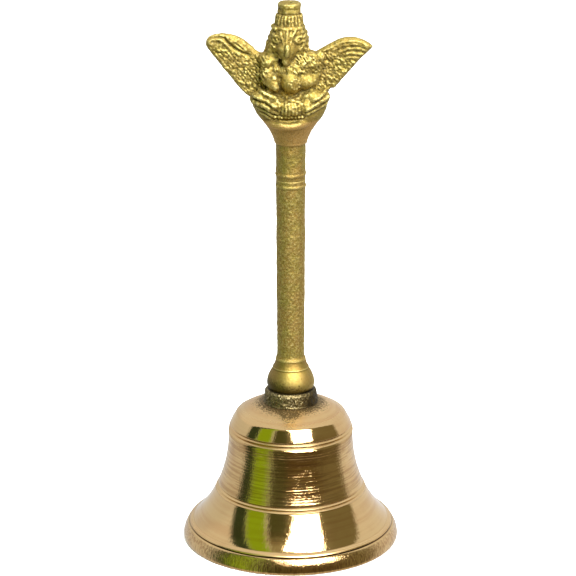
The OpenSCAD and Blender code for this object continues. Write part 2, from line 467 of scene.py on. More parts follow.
def cup_outline():
    lip = curve((LIP_R - 0.8, 0.0), (LIP_R + 0.3, 0.2), (LIP_R + 0.05, 2.6), (LIP_R - 1.55, 4.85), 22)
    groove = [(LIP_R - 1.8, 4.98), (LIP_R - 2.2, 4.98), (LIP_R - 2.35, 5.1), (LIP_R - 2.3, 5.22),
              (LIP_R - 1.95, 5.3), (LIP_R - 1.95, 5.42), (LIP_R - 2.35, 5.72), (LIP_R - 2.8, 5.95)]
    flare = curve((LIP_R - 3.3, 6.2), (LIP_R - 7.2, 9.9), (WAIST_R - 0.15, 19.6),
                  (WAIST_R - 0.1, WAIST_Z), 400)
    shoulder = curve((WAIST_R - 0.6, 36.85), (WAIST_R - 1.05, 37.85), (WAIST_R - 1.65, 39.0),
                     (WAIST_R - 2.45, 40.25), 12)
    crown = curve((WAIST_R - 2.72, 40.52), (14.5, 41.75), (12.0, 42.85), (8.4, DOME_TOP_Z), 30)
    dome = np.concatenate([shoulder, crown])
    below = flare[flare[:, 1] < LOW_BEAD_Z]
    above = flare[flare[:, 1] > LOW_BEAD_TOP_Z]
    waist_top = above[-1] + (0.0, 0.75)
    outer = np.concatenate([
        lip, groove, resample(below[::6], 0.2),
        bead(below[-1], above[0], 0.80), resample(above[::6], 0.15),
        [waist_top], bead(waist_top, dome[0], 0.92), resample(dome, 0.2)])
    inner_top = curve((7.5, INNER_CROWN_Z), (9.5, INNER_CROWN_Z), (16.55, 38.0), (INNER_R, 33.5), 24)
    inner_flare = curve((INNER_R, 33.0), (INNER_R, 19.2), (LIP_R - 8.4, 6.6), (LIP_R - 4.1, 1.0), 60)
    hole = np.array([(BOLT_HOLE_R, DOME_TOP_Z), (BOLT_HOLE_R, INNER_CROWN_Z)])
    return outer, np.concatenate([outer, hole, inner_top, inner_flare, [(LIP_R - 3.4, 0.0)]])


def tool_rings(radius, height, angle):
    """The fine rings that the lathe tool leaves, strongest between the two beads."""
    on_waist = np.clip((height - RINGS_FOOT_Z) / 2.0, 0, 1) * np.clip((RINGS_TOP_Z - height) / 1.0, 0, 1)
    uneven = 0.6 + 0.5 * lumps(0.0, 0.0, height, 1.7)
    phase = height * 2 * np.pi / WAIST_RING_PITCH + 1.5 * lumps(0.0, 1.0, height, 3.0)
    rings = 0.024 * on_waist * uneven * np.sin(phase)
    fine = 0.004 * lumps(1.0, 0.0, height - radius, 0.6)
    outside = radius > OUTER_WALL_R
    return radius + np.where(outside, rings + fine, 0.0), height


cup_outer, cup_loop = cup_outline()
cup_points, cup_faces = spin(cup_loop, CUP_SEGMENTS, True, tool_rings)
cup = make_piece("turned_cup", cup_points, cup_faces)
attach(cup, "bell")
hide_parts("bell_cup")
mark_hollows(cup, cup_points, cup_faces, 3)
cup_radius = np.hypot(cup_points[:, 0], cup_points[:, 1])
outline_radius = np.interp(cup_points[:, 2], cup_outer[:, 1], cup_outer[:, 0])
store(cup, "inside", (cup_radius < outline_radius - CUP_WALL) & (cup_points[:, 2] < CUP_INSIDE_TOP_Z))
print("cup faces:", len(cup_faces), "outline points:", len(cup_loop))

# %% [markdown]
# ## The collar
# The ring under the handle was never skimmed: it shows the sand mould, black with soot. Real lumps in the
# mesh break its outline, which a bump map could not do.

# %% Collar mesh
COLLAR_TOP = collar_high[2]
COLLAR_RIM_Z = 48.2
COLLAR_SEGMENTS = 250


def rough_cast(radius, height, angle):
    x = radius * np.sin(angle)
    y = -radius * np.cos(angle)
    outside = np.clip((radius - 5.0) / 1.5, 0, 1)
    above_foot = np.clip((height - DOME_TOP_Z) / 0.5, 0.0, 1)
    below_top = np.clip((COLLAR_TOP - height) / 0.5, 0.3, 1)
    bumps = 0.13 * lumps(x, y, height, 0.62) + 0.14 * lumps(x, y, height, 0.34, 5.0)
    return radius + outside * (above_foot * below_top) * (bumps - 0.05), height


collar_loop = resample([(BOLT_HOLE_R, DOME_TOP_Z), (8.1, DOME_TOP_Z), (8.3, DOME_TOP_Z + 0.15),
                        (8.2, DOME_TOP_Z + 0.6),
                        (8.15, 45.0), (8.05, 46.0), (7.95, 47.0), (7.8, 47.6), (7.3, 48.15),
                        (6.2, COLLAR_RIM_Z), (BOLT_HOLE_R, COLLAR_RIM_Z)], 0.2)
collar_points, collar_faces = spin(collar_loop, COLLAR_SEGMENTS, True, rough_cast)
collar = make_piece("rough_collar", collar_points, collar_faces)
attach(collar, "bell")
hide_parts("neck_collar")
mark_hollows(collar, collar_points, collar_faces, 3)
print("collar faces:", len(collar_faces))

# %% [markdown]
# ## The grip
# Bulb, throat, grip and rings are one casting. The bulb was skimmed smooth, the grip was left as it came from
# the sand, so the lumps fade in above the throat. Blind holes at both ends take the bolt and the spigot.

# %% Grip mesh
BULB_Z = grip_low[2]
BULB_FOOT_Z = BULB_Z - 0.75
GRIP_SEGMENTS = 116
SEAM_Z = grip_high[2]
BOLT_END_Z = BULB_Z + 14.0
SOCKET_Z = SEAM_Z - 8.0


def grip_outline():
    bulb = curve((6.3, BULB_FOOT_Z), (7.75, BULB_FOOT_Z + 0.8), (7.55, BULB_FOOT_Z + 3.4), (5.5, 54.7), 26)
    ring_line = [(5.46, 54.8), (5.56, 54.95), (5.45, 55.2), (5.3, 55.3)]
    throat = curve((5.25, 55.4), (4.95, 56.0), (4.75, 56.6), (4.6, 57.3), 10)
    shoulder = [(4.62, 57.6), (4.5, 58.0), (4.3, 58.4), (4.16, 58.9)]
    shaft = [(4.14, 60.0), (4.24, 84.0), (4.40, 108.0), (4.44, SEAM_Z - 2.5)]
    ring = [(4.55, SEAM_Z - 2.25), (4.62, SEAM_Z - 1.9), (4.55, SEAM_Z - 1.55), (4.42, SEAM_Z - 1.25)]
    top = [(4.46, SEAM_Z - 0.15), (4.3, SEAM_Z), (2.5, SEAM_Z), (2.5, SOCKET_Z), (0.0, SOCKET_Z)]
    bore = [(0.0, BOLT_END_Z), (2.05, BOLT_END_Z), (2.05, BULB_FOOT_Z)]
    return resample(np.concatenate([bore, bulb, ring_line, throat, shoulder, shaft, ring, top]), 0.26)


def sand_cast(radius, height, angle):
    x = radius * np.sin(angle)
    y = -radius * np.cos(angle)
    outside = np.clip((radius - 3.4) / 0.4, 0, 1)
    rough = np.clip((height - 57.0) / 3.0, 0.12, 1) * np.clip((SEAM_Z + 0.3 - height) / 1.5, 0.3, 1)
    wavy = 0.09 * lumps(x / 3, y / 3, height, 5.0) + 0.05 * lumps(x, y, height, 1.6, 3.0)
    grain = 0.075 * lumps(x, y, height, 0.6, 9.0)
    return radius + outside * rough * (wavy + grain), height


grip_points, grip_faces = spin(grip_outline(), GRIP_SEGMENTS, False, sand_cast)
grip = make_piece("cast_grip", grip_points, grip_faces)
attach(grip, "bell")
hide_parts("handle_grip")
mark_hollows(grip, grip_points, grip_faces, 3)
print("grip faces:", len(grip_faces))

# %% [markdown]
# ## Modelling clay for the figure
# The figure is a free form with feathers, pleats and curls that all melt into one another, as wax does before
# casting. It is built as a distance field: a grid that stores how far each point is from the surface. Balls
# and rods are added or cut with soft joins, then the zero level is skinned with quads, one vertex per cell.

# %% Clay block


class Clay:
    """A block of soft material on a grid, negative inside the shape."""

    def __init__(self, low, high, step):
        self.step = step
        self.low = np.array(low, dtype=float)
        counts = [int(round((b - a) / step)) + 1 for a, b in zip(low, high)]
        self.axes = [a + step * np.arange(n, dtype=np.float32) for a, n in zip(low, counts)]
        self.field = np.full(counts, 9.0, dtype=np.float32)

    def window(self, low, high):
        cut = tuple(slice(int(np.searchsorted(axis, a)), int(np.searchsorted(axis, b)))
                    for axis, a, b in zip(self.axes, low, high))
        x, y, z = (axis[s] for axis, s in zip(self.axes, cut))
        return cut, x[:, None, None], y[None, :, None], z[None, None, :]

    def blend(self, cut, distance, soft, remove=False):
        held = self.field[cut]
        if remove:
            held = -held
        overlap = np.maximum(soft - np.abs(held - distance), 0.0) / soft
        joined = np.minimum(held, distance) - overlap * overlap * soft * 0.25
        self.field[cut] = -joined if remove else joined

    def ball(self, place, radii, soft=0.5, remove=False):
        radii = np.broadcast_to(np.array(radii, dtype=float), 3)
        place = np.array(place, dtype=float)
        reach = radii + soft + 2 * self.step
        cut, x, y, z = self.window(place - reach, place + reach)
        px, py, pz = x - place[0], y - place[1], z - place[2]
        near = np.sqrt((px / radii[0]) ** 2 + (py / radii[1]) ** 2 + (pz / radii[2]) ** 2) + 1e-6
        steep = (px / radii[0] ** 2) ** 2 + (py / radii[1] ** 2) ** 2 + (pz / radii[2] ** 2) ** 2
        slope = np.sqrt(steep) + 1e-6
        self.blend(cut, near * (near - 1.0) / slope, soft, remove)

    def rod(self, start, end, start_r, end_r=None, soft=0.4, remove=False):
        end_r = start_r if end_r is None else end_r
        start = np.array(start, dtype=float)
        end = np.array(end, dtype=float)
        reach = max(start_r, end_r) + soft + 2 * self.step
        cut, x, y, z = self.window(np.minimum(start, end) - reach, np.maximum(start, end) + reach)
        along = end - start
        px, py, pz = x - start[0], y - start[1], z - start[2]
        share = np.clip((px * along[0] + py * along[1] + pz * along[2]) / (along @ along), 0.0, 1.0)
        px, py, pz = px - share * along[0], py - share * along[1], pz - share * along[2]
        off = np.sqrt(px ** 2 + py ** 2 + pz ** 2)
        self.blend(cut, off - (start_r + (end_r - start_r) * share), soft, remove)

    def strand(self, places, radius, soft=0.3, remove=False):
        for start, end in zip(places[:-1], places[1:]):
            self.rod(start, end, radius, radius, soft, remove)

    def column(self, levels, soft=0.5):
        """An upright form with an oval at each level: z, centre x, centre y, half width, half depth."""
        levels = np.array(levels, dtype=float)
        cut, x, y, z = self.window((-30, -30, levels[0, 0] - 1), (30, 30, levels[-1, 0] + 1))
        cx, cy, wide, deep = (np.interp(z.ravel(), levels[:, 0], levels[:, i])[None, None, :]
                              for i in (1, 2, 3, 4))
        px, py = (x - cx) / wide, (y - cy) / deep
        near = (np.abs(px) ** 2.0 + np.abs(py) ** 2.0) ** 0.5 + 1e-6
        slope = np.sqrt((px / wide) ** 2 + (py / deep) ** 2) / near + 1e-6
        sides = (near - 1.0) / slope
        ends = np.maximum(levels[0, 0] - z, z - levels[-1, 0])
        self.blend(cut, np.maximum(sides, ends).astype(np.float32), soft)

    def plate(self, edge, thick, middle, soft=0.6):
        """A flat form: distance inside its outline and half thickness, both on the XZ grid."""
        y = self.axes[1][None, :, None] - middle
        outside = np.maximum(-edge, 0.0)[:, None, :]
        distance = np.where(outside > 0, np.hypot(outside, y), np.abs(y) - thick[:, None, :])
        self.blend((slice(None), slice(None), slice(None)), distance.astype(np.float32), soft)

    def face(self, x, z, back=False):
        """The depth y of the surface at x, z, seen from the front or from the back."""
        i = int(round((x - self.low[0]) / self.step))
        k = int(round((z - self.low[2]) / self.step))
        line = self.field[i, :, k]
        inside = np.flatnonzero(line < 0)
        if len(inside) == 0:
            return 0.0
        j = inside[-1] if back else inside[0]
        beside = j + 1 if back else j - 1
        share = line[j] / (line[j] - line[beside])
        return float(self.axes[1][j] + (beside - j) * share * self.step)

    def trace(self, path, radius, lift=0.0, soft=0.25, remove=False, back=False):
        """A ridge, or a groove, that follows the surface along an x, z path."""
        path = resample(path, 0.45)
        depth = np.array([self.face(x, z, back) for x, z in path])
        if len(depth) > 2:
            padded = np.concatenate([depth[:1], depth, depth[-1:]])
            depth = (padded[:-2] + 2 * depth + padded[2:]) / 4
        depth = depth + (lift if back else -lift)
        places = np.stack([path[:, 0], depth, path[:, 1]], axis=1)
        self.strand(places, radius, soft, remove)

    def dab(self, x, z, radius, lift=0.0, soft=0.25, remove=False, back=False):
        """A bead, or a pit, on the surface at x, z."""
        depth = self.face(x, z, back) + (lift if back else -lift)
        self.ball((x, depth, z), radius, soft, remove)

    def wear(self, middle, radii, passes):
        """Rub the surface soft inside an oval, by averaging each cell with its neighbours."""
        middle = np.array(middle, dtype=float)
        radii = np.array(radii, dtype=float)
        cut, x, y, z = self.window(middle - radii, middle + radii)
        px, py, pz = x - middle[0], y - middle[1], z - middle[2]
        off = (px / radii[0]) ** 2 + (py / radii[1]) ** 2 + (pz / radii[2]) ** 2
        share = np.clip(1.8 * (1 - off), 0.0, 1.0)
        for _ in range(passes):
            held = self.field[cut]
            soft = held
            for axis in range(3):
                soft = (np.roll(soft, 1, axis) + 2 * soft + np.roll(soft, -1, axis)) / 4
            self.field[cut] = held + share * (soft - held)

    def skin(self):
        """Points and quads of the zero level, one point in each cell that it crosses."""
        inside = self.field < 0
        shape = np.array(self.field.shape) - 1
        corners = np.zeros(shape, dtype=np.int8)
        for i in (0, 1):
            for j in (0, 1):
                for k in (0, 1):
                    corners += inside[i:i + shape[0], j:j + shape[1], k:k + shape[2]]
        active = (corners > 0) & (corners < 8)
        number = np.full(shape, -1, dtype=np.int64)
        number[active] = np.arange(active.sum())
        cells = np.argwhere(active)
        total = np.zeros((len(cells), 3))
        crossings = np.zeros(len(cells))
        for axis in range(3):
            others = [a for a in range(3) if a != axis]
            for first in (0, 1):
                for second in (0, 1):
                    corner = np.zeros(3, dtype=int)
                    corner[others[0]] = first
                    corner[others[1]] = second
                    low = cells + corner
                    high = low.copy()
                    high[:, axis] += 1
                    a = self.field[tuple(low.T)]
                    b = self.field[tuple(high.T)]
                    crosses = (a < 0) != (b < 0)
                    share = np.where(crosses, a / np.where(crosses, a - b, 1.0), 0.0)
                    place = low.astype(float)
                    place[:, axis] += share
                    total += place * crosses[:, None]
                    crossings += crosses
        points = self.low + self.step * total / crossings[:, None]
        quads = []
        for axis in range(3):
            one, two = (axis + 1) % 3, (axis + 2) % 3
            a = inside.take(range(0, inside.shape[axis] - 1), axis=axis)
            b = inside.take(range(1, inside.shape[axis]), axis=axis)
            edges = np.argwhere(a != b)
            edges = edges[(edges[:, one] > 0) & (edges[:, two] > 0)
                          & (edges[:, one] < shape[one]) & (edges[:, two] < shape[two])]
            around = []
            for step_one, step_two in ((-1, -1), (0, -1), (0, 0), (-1, 0)):
                cell = edges.copy()
                cell[:, one] += step_one
                cell[:, two] += step_two
                around.append(number[tuple(cell.T)])
            ring = np.stack(around, axis=1)
            outward = a[tuple(edges.T)]
            quads.append(np.where(outward[:, None], ring, ring[:, ::-1]))
        return points, np.concatenate(quads)


print("clay ready")

# %% [markdown]
# ## Neck and seat of the figure
# The figure's casting starts at the seam: a plain neck with a ring, which flares to a seat. The flare is
# smooth on the real bell, so it is an oval column whose half width and half depth are given level by level.

# %% Neck and seat
FIGURE_TOP = figure_high[2]
CLAY_STEP = 0.24
figure_clay = Clay((-26.0, -10.6, SEAM_Z - 9.0), (25.0, 10.0, FIGURE_TOP + 1.0), CLAY_STEP)


def add_neck(clay):
    clay.rod((0, 0, SEAM_Z - 5.0), (0, 0, SEAM_Z + 3.0), 2.4, soft=0.05)
    clay.column([(SEAM_Z + 0.02, 0, 0, 4.4, 4.4), (SEAM_Z + 1.15, 0, 0, 4.42, 4.42),
                 (SEAM_Z + 1.4, 0, 0, 4.64, 4.64), (SEAM_Z + 1.95, 0, 0, 4.64, 4.64),
                 (SEAM_Z + 2.2, 0, 0, 4.42, 4.42), (124.9, 0, 0, 4.46, 4.46),
                 (125.3, 0, 0, 4.52, 4.5), (125.7, 0, 0, 4.92, 4.8), (126.2, 0, 0, 4.98, 4.82),
                 (127.7, 0, 0, 5.5, 5.2), (129.5, 0, 0, 6.4, 5.8), (131.4, 0, 0, 7.7, 6.4),
                 (133.0, 0, 0, 9.0, 6.9), (134.6, -0.1, 0, 10.1, 7.1), (136.2, -0.2, 0, 10.8, 7.2),
                 (138.0, -0.2, 0, 11.0, 7.0), (140.0, -0.2, 0, 10.6, 6.2), (141.6, -0.2, 0, 9.0, 4.8)],
                 soft=0.1)
    lip = [(-0.9 + 6.2 * math.sin(t), -0.6 - 7.6 * math.cos(t), 133.0 - 0.5 * math.cos(t))
           for t in np.linspace(-1.35, 1.25, 16)]
    clay.strand(lip, 1.05, soft=0.5)


add_neck(figure_clay)
print("cells in the clay block:", figure_clay.field.size)

# %% [markdown]
# ## Body, arms and legs
# A body squats on the seat with folded legs, arms brought round to the belly, and a cloth that falls in
# pleats between the knees. First the large forms, as balls and rods that melt together, and then the folds as
# ridges and grooves traced over the surface.

# %% Body and arms


def add_body(clay):
    clay.ball((-0.3, -0.6, 147.0), (7.0, 5.2, 7.6), soft=1.5)
    clay.rod((-6.3, -1.4, 150.8), (6.0, -1.4, 150.8), 3.1, soft=1.5)
    clay.ball((0.1, -4.0, 145.1), (3.3, 3.7, 3.5), soft=0.8)
    clay.ball((4.6, -2.9, 145.2), (3.7, 3.6, 2.7), soft=0.8)
    clay.rod((-6.6, -2.8, 150.4), (-7.0, -3.2, 147.6), 1.9, 1.9, soft=0.8)
    clay.rod((-7.0, -3.2, 147.6), (-5.2, -5.0, 144.0), 2.0, 2.0, soft=0.8)
    clay.rod((-5.0, -5.9, 146.6), (-4.3, -6.4, 143.4), 0.9, 0.9, soft=0.5)
    clay.rod((7.8, -1.6, 151.0), (7.4, -2.4, 147.4), 1.5, 1.6, soft=0.8)
    clay.ball((-6.8, -4.1, 150.7), (1.35, 1.2, 1.3), soft=0.35)
    clay.ball((8.6, -2.4, 152.3), (1.5, 1.3, 1.4), soft=0.35)
    for side, height in ((-6.9, 149.1), (-6.95, 148.35), (4.6, 147.95), (4.7, 147.2)):
        half = 1.7
        bangle = [(side - half, height + 0.15), (side, height - 0.1), (side + half, height + 0.1)]
        clay.trace(bangle, 0.24, 0.02)
    clay.trace([(-3.1, 147.0), (-3.2, 145.0), (-2.7, 142.9)], 0.5, 0.1, soft=0.5, remove=True)
    clay.trace([(2.5, 147.0), (2.8, 145.0), (2.5, 143.2)], 0.2, 0.0, soft=0.5, remove=True)
    pick = np.random.default_rng(21)
    for _ in range(30):
        clay.dab(pick.uniform(-2.0, 1.6), pick.uniform(143.4, 147.8), pick.uniform(0.22, 0.36), remove=True)


def add_legs(clay):
    clay.rod((-10.0, -2.2, 139.4), (-4.2, -6.6, 138.6), 2.1, 1.7, soft=1.0)
    clay.rod((9.3, -2.2, 139.9), (4.4, -6.0, 138.4), 2.2, 1.8, soft=1.0)
    clay.ball((5.9, -4.4, 140.9), (3.6, 2.5, 1.9), soft=0.9)
    clay.ball((-7.6, -4.0, 140.9), (3.6, 2.3, 1.6), soft=0.9)
    clay.ball((0.0, -5.6, 137.6), (4.2, 3.2, 2.9), soft=0.8)
    crease = [(-8.9, 144.6), (-6.6, 143.2), (-4.2, 141.5), (-1.7, 140.6), (0.8, 140.9), (3.6, 142.1),
              (7.4, 144.2)]
    clay.trace(crease, 0.46, 0.0, soft=0.4, remove=True)


add_body(figure_clay)
add_legs(figure_clay)
print("front of the belly at y =", round(figure_clay.face(0.0, 145.0), 2))

# %% Folds, pleats and toes


def add_folds(clay):
    left_folds = ((-9.8, 142.6, -4.0, 140.1, 0.62), (-10.6, 141.0, -4.2, 138.4, 0.46),
                  (-10.8, 139.2, -4.0, 136.4, 0.66),
                  (-10.0, 137.2, -4.6, 134.9, 0.30), (-9.0, 135.6, -5.8, 134.0, 0.26))
    right_folds = ((10.9, 142.3, 6.4, 139.9, 0.46), (10.8, 140.4, 4.4, 137.3, 0.56),
                   (10.5, 138.3, 4.4, 135.6, 0.34))
    for x0, z0, x1, z1, size in left_folds + right_folds:
        sag = 0.3 if x0 < 0 else -0.1
        clay.trace([(x0, z0), ((x0 + x1) / 2, (z0 + z1) / 2 + sag), (x1, z1)], size, 0.1)
    pick = np.random.default_rng(17)
    pleats = 8
    for number in range(pleats):
        x = -3.4 + 0.98 * number
        fan = 0.16 * (number - 3.5)
        top = 139.9 - 0.10 * abs(number - 3) ** 1.5 + pick.uniform(-0.25, 0.25)
        foot = (x + 0.35 * fan + 0.1, 136.2 + pick.uniform(-0.2, 0.3))
        clay.trace([(x - 0.5 * fan - 0.2, top), (x + 0.1, 137.9), foot], pick.uniform(0.26, 0.40), 0.12)
    clay.trace([(-1.0, 140.3), (1.2, 140.1), (3.4, 139.2)], 0.45, 0.1)
    toes = 9
    for number in range(toes):
        x = -4.6 + 1.0 * number
        clay.dab(x, 135.0 + 0.12 * (number % 2), (0.46, 0.55, 0.5), 0.1)
    clay.trace([(-4.6, 134.35), (-1.0, 134.0), (3.8, 134.4)], 0.25, 0.0, remove=True)


add_folds(figure_clay)
print("pleats and toes added")

# %% [markdown]
# ## Head
# The head is a bird's: a broad hooked beak, ringed eyes and a brow of ridges under a tall fluted cap, with
# curls down both sides. It belongs to no one, so it follows the worn shape that such castings usually have.

# %% Head and cap


def add_head(clay):
    clay.column([(151.5, -1.2, -0.6, 6.3, 3.9), (153.5, -1.2, -0.6, 6.4, 4.3),
                 (155.5, -1.1, -0.6, 6.1, 4.5),
                 (157.5, -0.9, -0.6, 5.7, 4.5), (159.2, -0.8, -0.6, 5.2, 4.4),
                 (160.4, -0.7, -0.5, 4.7, 4.3),
                 (161.2, -0.6, -0.4, 4.4, 4.2)], soft=0.8)
    clay.ball((-0.9, -2.2, 157.4), (4.5, 3.0, 4.2), soft=0.7)
    clay.ball((-1.2, -5.3, 154.9), (2.3, 2.3, 2.3), soft=0.9)
    clay.rod((-1.3, -4.6, 154.3), (-1.7, -5.7, 151.7), 3.0, 1.5, soft=0.8)
    clay.rod((-2.0, -4.2, 155.0), (-5.2, -2.9, 155.0), 1.5, 1.1, soft=0.9)
    clay.rod((-0.6, -4.2, 155.0), (2.6, -3.1, 155.0), 1.5, 1.1, soft=0.9)
    clay.ball((-3.4, -6.0, 150.6), (1.3, 1.6, 1.5), soft=0.5, remove=True)
    clay.ball((-3.0, -5.2, 151.2), (0.9, 2.0, 1.3), soft=0.4, remove=True)
    clay.column([(160.3, -0.6, -0.5, 4.5, 4.2), (160.6, -0.6, -0.5, 4.8, 4.5),
                 (161.2, -0.55, -0.4, 4.65, 4.4),
                 (161.6, -0.55, -0.3, 4.1, 3.9), (162.2, -0.5, -0.3, 3.95, 3.75),
                 (164.6, -0.45, -0.2, 3.5, 3.4),
                 (164.85, -0.45, -0.2, 3.2, 3.1), (165.1, -0.45, -0.2, 3.38, 3.3),
                 (166.4, -0.44, -0.2, 3.25, 3.2),
                 (167.0, -0.44, -0.2, 3.42, 3.35), (167.7, -0.44, -0.2, 3.35, 3.3),
                 (168.05, -0.44, -0.2, 2.9, 2.9),
                 (168.25, -0.44, -0.2, 1.8, 1.8)], soft=0.15)
    flutes = 22
    for number in range(flutes):
        turn = 2 * math.pi * number / flutes
        low = (-0.5 + 4.0 * math.sin(turn), -0.3 - 3.8 * math.cos(turn), 161.9)
        high = (-0.45 + 3.6 * math.sin(turn), -0.2 - 3.45 * math.cos(turn), 164.3)
        clay.rod(low, high, 0.33, 0.3, soft=0.15)


def add_features(clay):
    for x, z, size in ((-4.1, 157.9, 1.0), (2.4, 157.7, 1.0)):
        ring = [(x + size * math.sin(t), z + 0.85 * size * math.cos(t))
                for t in np.linspace(0, 2 * math.pi, 13)]
        clay.trace(ring, 0.26, 0.0)
        clay.dab(x, z, 0.45, 0.0)
    for top, foot, size in ((-3.0, -1.9, 0.30), (-2.0, -1.5, 0.22), (-1.0, -1.1, 0.34), (0.1, -0.7, 0.22),
                            (1.2, -0.3, 0.32)):
        clay.trace([(top, 160.2), ((top + foot) / 2 - 0.1, 158.4), (foot, 156.4)], size, 0.05)
    for x, z in ((3.6, 159.6), (4.3, 159.2), (4.7, 158.4), (3.9, 156.4), (3.4, 155.6), (-5.4, 159.4),
                 (-5.7, 156.3)):
        clay.trace([(x, z), (x * 0.8, z - 1.1)], 0.24, 0.05)
    clay.trace([(-0.9, 156.6), (-1.0, 155.2), (-1.2, 153.8)], 0.45, 0.1, soft=0.5)
    clay.trace([(-4.6, 154.2), (-3.2, 153.2), (-2.2, 151.6)], 0.22, 0.0, remove=True)
    clay.trace([(2.2, 154.2), (1.0, 153.2), (-0.8, 151.4)], 0.22, 0.0, remove=True)


def add_curls(clay):
    curls = np.random.default_rng(3)
    left = ((-5.6, 160.4), (-6.2, 158.8), (-6.7, 157.2), (-7.1, 155.7), (-7.4, 154.3), (-7.6, 153.0))
    right = ((4.3, 160.0), (4.7, 158.6), (5.0, 157.2), (5.2, 155.8), (5.3, 154.4), (5.6, 153.0))
    for x, z in left + right:
        for depth in (-2.6, -0.9, 0.8, 2.3):
            wander = curls.uniform(-0.3, 0.3, 3)
            inward = (0.30 + 0.16 * depth * depth) * (1 if x < 0 else -1)
            place = (x + inward + wander[0], depth - 0.5 + wander[1], z + wander[2] + 0.35 * (depth > 0))
            clay.ball(place, (0.58, 0.7, 0.62), soft=0.5)
    for row in range(6):
        for column in range(7):
            x = -0.9 + (column - 3 + 0.5 * (row % 2)) * 1.35
            clay.dab(x, 153.2 + 1.25 * row, (0.62, 0.5, 0.6), 0.1, back=True)


add_head(figure_clay)
add_features(figure_clay)
add_curls(figure_clay)
print("front of the beak at y =", round(figure_clay.face(-1.4, 154.5), 2))

# %% [markdown]
# ## Wings
# Both wings are one flat plate with rounded edges, covered in small overlapping feathers that the carver
# chopped in row by row. The outline is a short list of points with its corners cut round. A relief map over
# the plate carries the feathers and ribs and then thickens the plate, on both sides.

# %% Relief map


class Relief:
    """Heights over the XZ grid of a clay block, on which feathers and ribs are stamped."""

    def __init__(self, clay):
        self.x, self.z = np.meshgrid(clay.axes[0], clay.axes[2], indexing="ij")
        self.height = np.zeros_like(self.x)

    def feather(self, x, z, turn, long, short, tall):
        near = (np.abs(self.x - x) < long + 0.3) & (np.abs(self.z - z) < long + 0.3)
        px, pz = self.x[near] - x, self.z[near] - z
        along = (px * math.cos(turn) + pz * math.sin(turn)) / long
        across = (pz * math.cos(turn) - px * math.sin(turn)) / short
        dome = np.sqrt(np.maximum(1 - along ** 2 - across ** 2, 0.0)) * (0.75 + 0.25 * along)
        self.height[near] = np.maximum(self.height[near], tall * dome)

    def rib(self, path, wide, tall):
        path = resample(path, 0.3)
        gap = np.full(self.x.shape, 99.0)
        for x, z in path:
            gap = np.minimum(gap, (self.x - x) ** 2 + (self.z - z) ** 2)
        self.height += tall * np.exp(-gap / wide ** 2)


def round_corners(outline, times=2):
    outline = np.array(outline, dtype=float)
    for _ in range(times):
        after = np.roll(outline, -1, axis=0)
        pairs = np.stack([0.75 * outline + 0.25 * after, 0.25 * outline + 0.75 * after], axis=1)
        outline = pairs.reshape(-1, 2)
    return outline


def inside_distance(outline, x, z):
    """How far each point is inside a closed outline, negative outside."""
    nearest = np.full(x.shape, 1e9)
    inside = np.zeros(x.shape, dtype=bool)
    for (ax, az), (bx, bz) in zip(outline, np.roll(outline, -1, axis=0)):
        ex, ez = bx - ax, bz - az
        share = np.clip(((x - ax) * ex + (z - az) * ez) / (ex * ex + ez * ez), 0.0, 1.0)
        nearest = np.minimum(nearest, (x - ax - share * ex) ** 2 + (z - az - share * ez) ** 2)
        if az != bz:
            inside ^= ((az > z) != (bz > z)) & (x < ax + (z - az) / (bz - az) * ex)
    return np.where(inside, 1, -1) * np.sqrt(nearest)


print("relief tools ready")

# %% Wings
LEFT_WING = [(-3, 152), (-9.5, 152.8), (-12, 155.5), (-15.2, 157.8), (-18.8, 158.7), (-22.4, 158.5),
             (-24.7, 157.2),
             (-25.1, 154.9), (-23, 152.2), (-17.3, 145), (-14.4, 141.2), (-11.5, 138.8), (-3, 138)]
RIGHT_WING = [(3, 152), (7, 153), (10.5, 155.1), (14.7, 157.4), (17.8, 157.7), (21.4, 156.9), (24.1, 155.0),
              (24.0, 154.4), (20.4, 151), (16.5, 146.3), (13.4, 142.9), (12.9, 141.9), (11.6, 142.2),
              (10.9, 140), (3, 138)]
PLATE_HALF = 1.25


def feather_rows(relief, edge, side, turn, pick):
    """Rows of small feathers over one wing, each a little out of line."""
    pitch_along = 1.06
    pitch_across = 0.76
    count = 30
    for row in range(-count, count):
        for place in range(-count, count):
            u = pitch_along * (place + 0.5 * (row % 2))
            v = pitch_across * row
            wander = pick.uniform(-1.0, 1.0, 4)
            x = side * 14.0 + u * math.cos(turn) - v * math.sin(turn) + 0.26 * wander[0]
            z = 149.0 + u * math.sin(turn) + v * math.cos(turn) + 0.24 * wander[1]
            i = int((x - figure_clay.low[0]) / CLAY_STEP)
            k = int((z - figure_clay.low[2]) / CLAY_STEP)
            on_grid = 0 < i < edge.shape[0] - 1 and 0 < k < edge.shape[1] - 1
            if abs(x) > 4.0 and on_grid and edge[i, k] > 0.25:
                relief.feather(x, z, turn + 0.35 * wander[2], 0.66, 0.38, 0.34 + 0.14 * wander[3])


def add_wings(clay):
    pick = np.random.default_rng(11)
    for outline, side in ((LEFT_WING, -1), (RIGHT_WING, 1)):
        relief = Relief(clay)
        edge = inside_distance(round_corners(outline), relief.x, relief.z)
        turn = math.radians(-50.0 if side < 0 else -52.0)
        feather_rows(relief, edge, side, turn, pick)
        smooth_part = shoulder_band(relief, side)
        relief.height *= 1 - smooth_part
        add_ribs(relief, side)
        rim = np.clip(edge / 1.3, 0.0, 1.0)
        round_edge = np.sqrt(np.clip(1 - (1 - rim) ** 2, 0.0, 1.0))
        thick = PLATE_HALF * round_edge + relief.height * np.clip(edge / 0.5, 0, 1)
        clay.plate(edge, thick, 0.1)


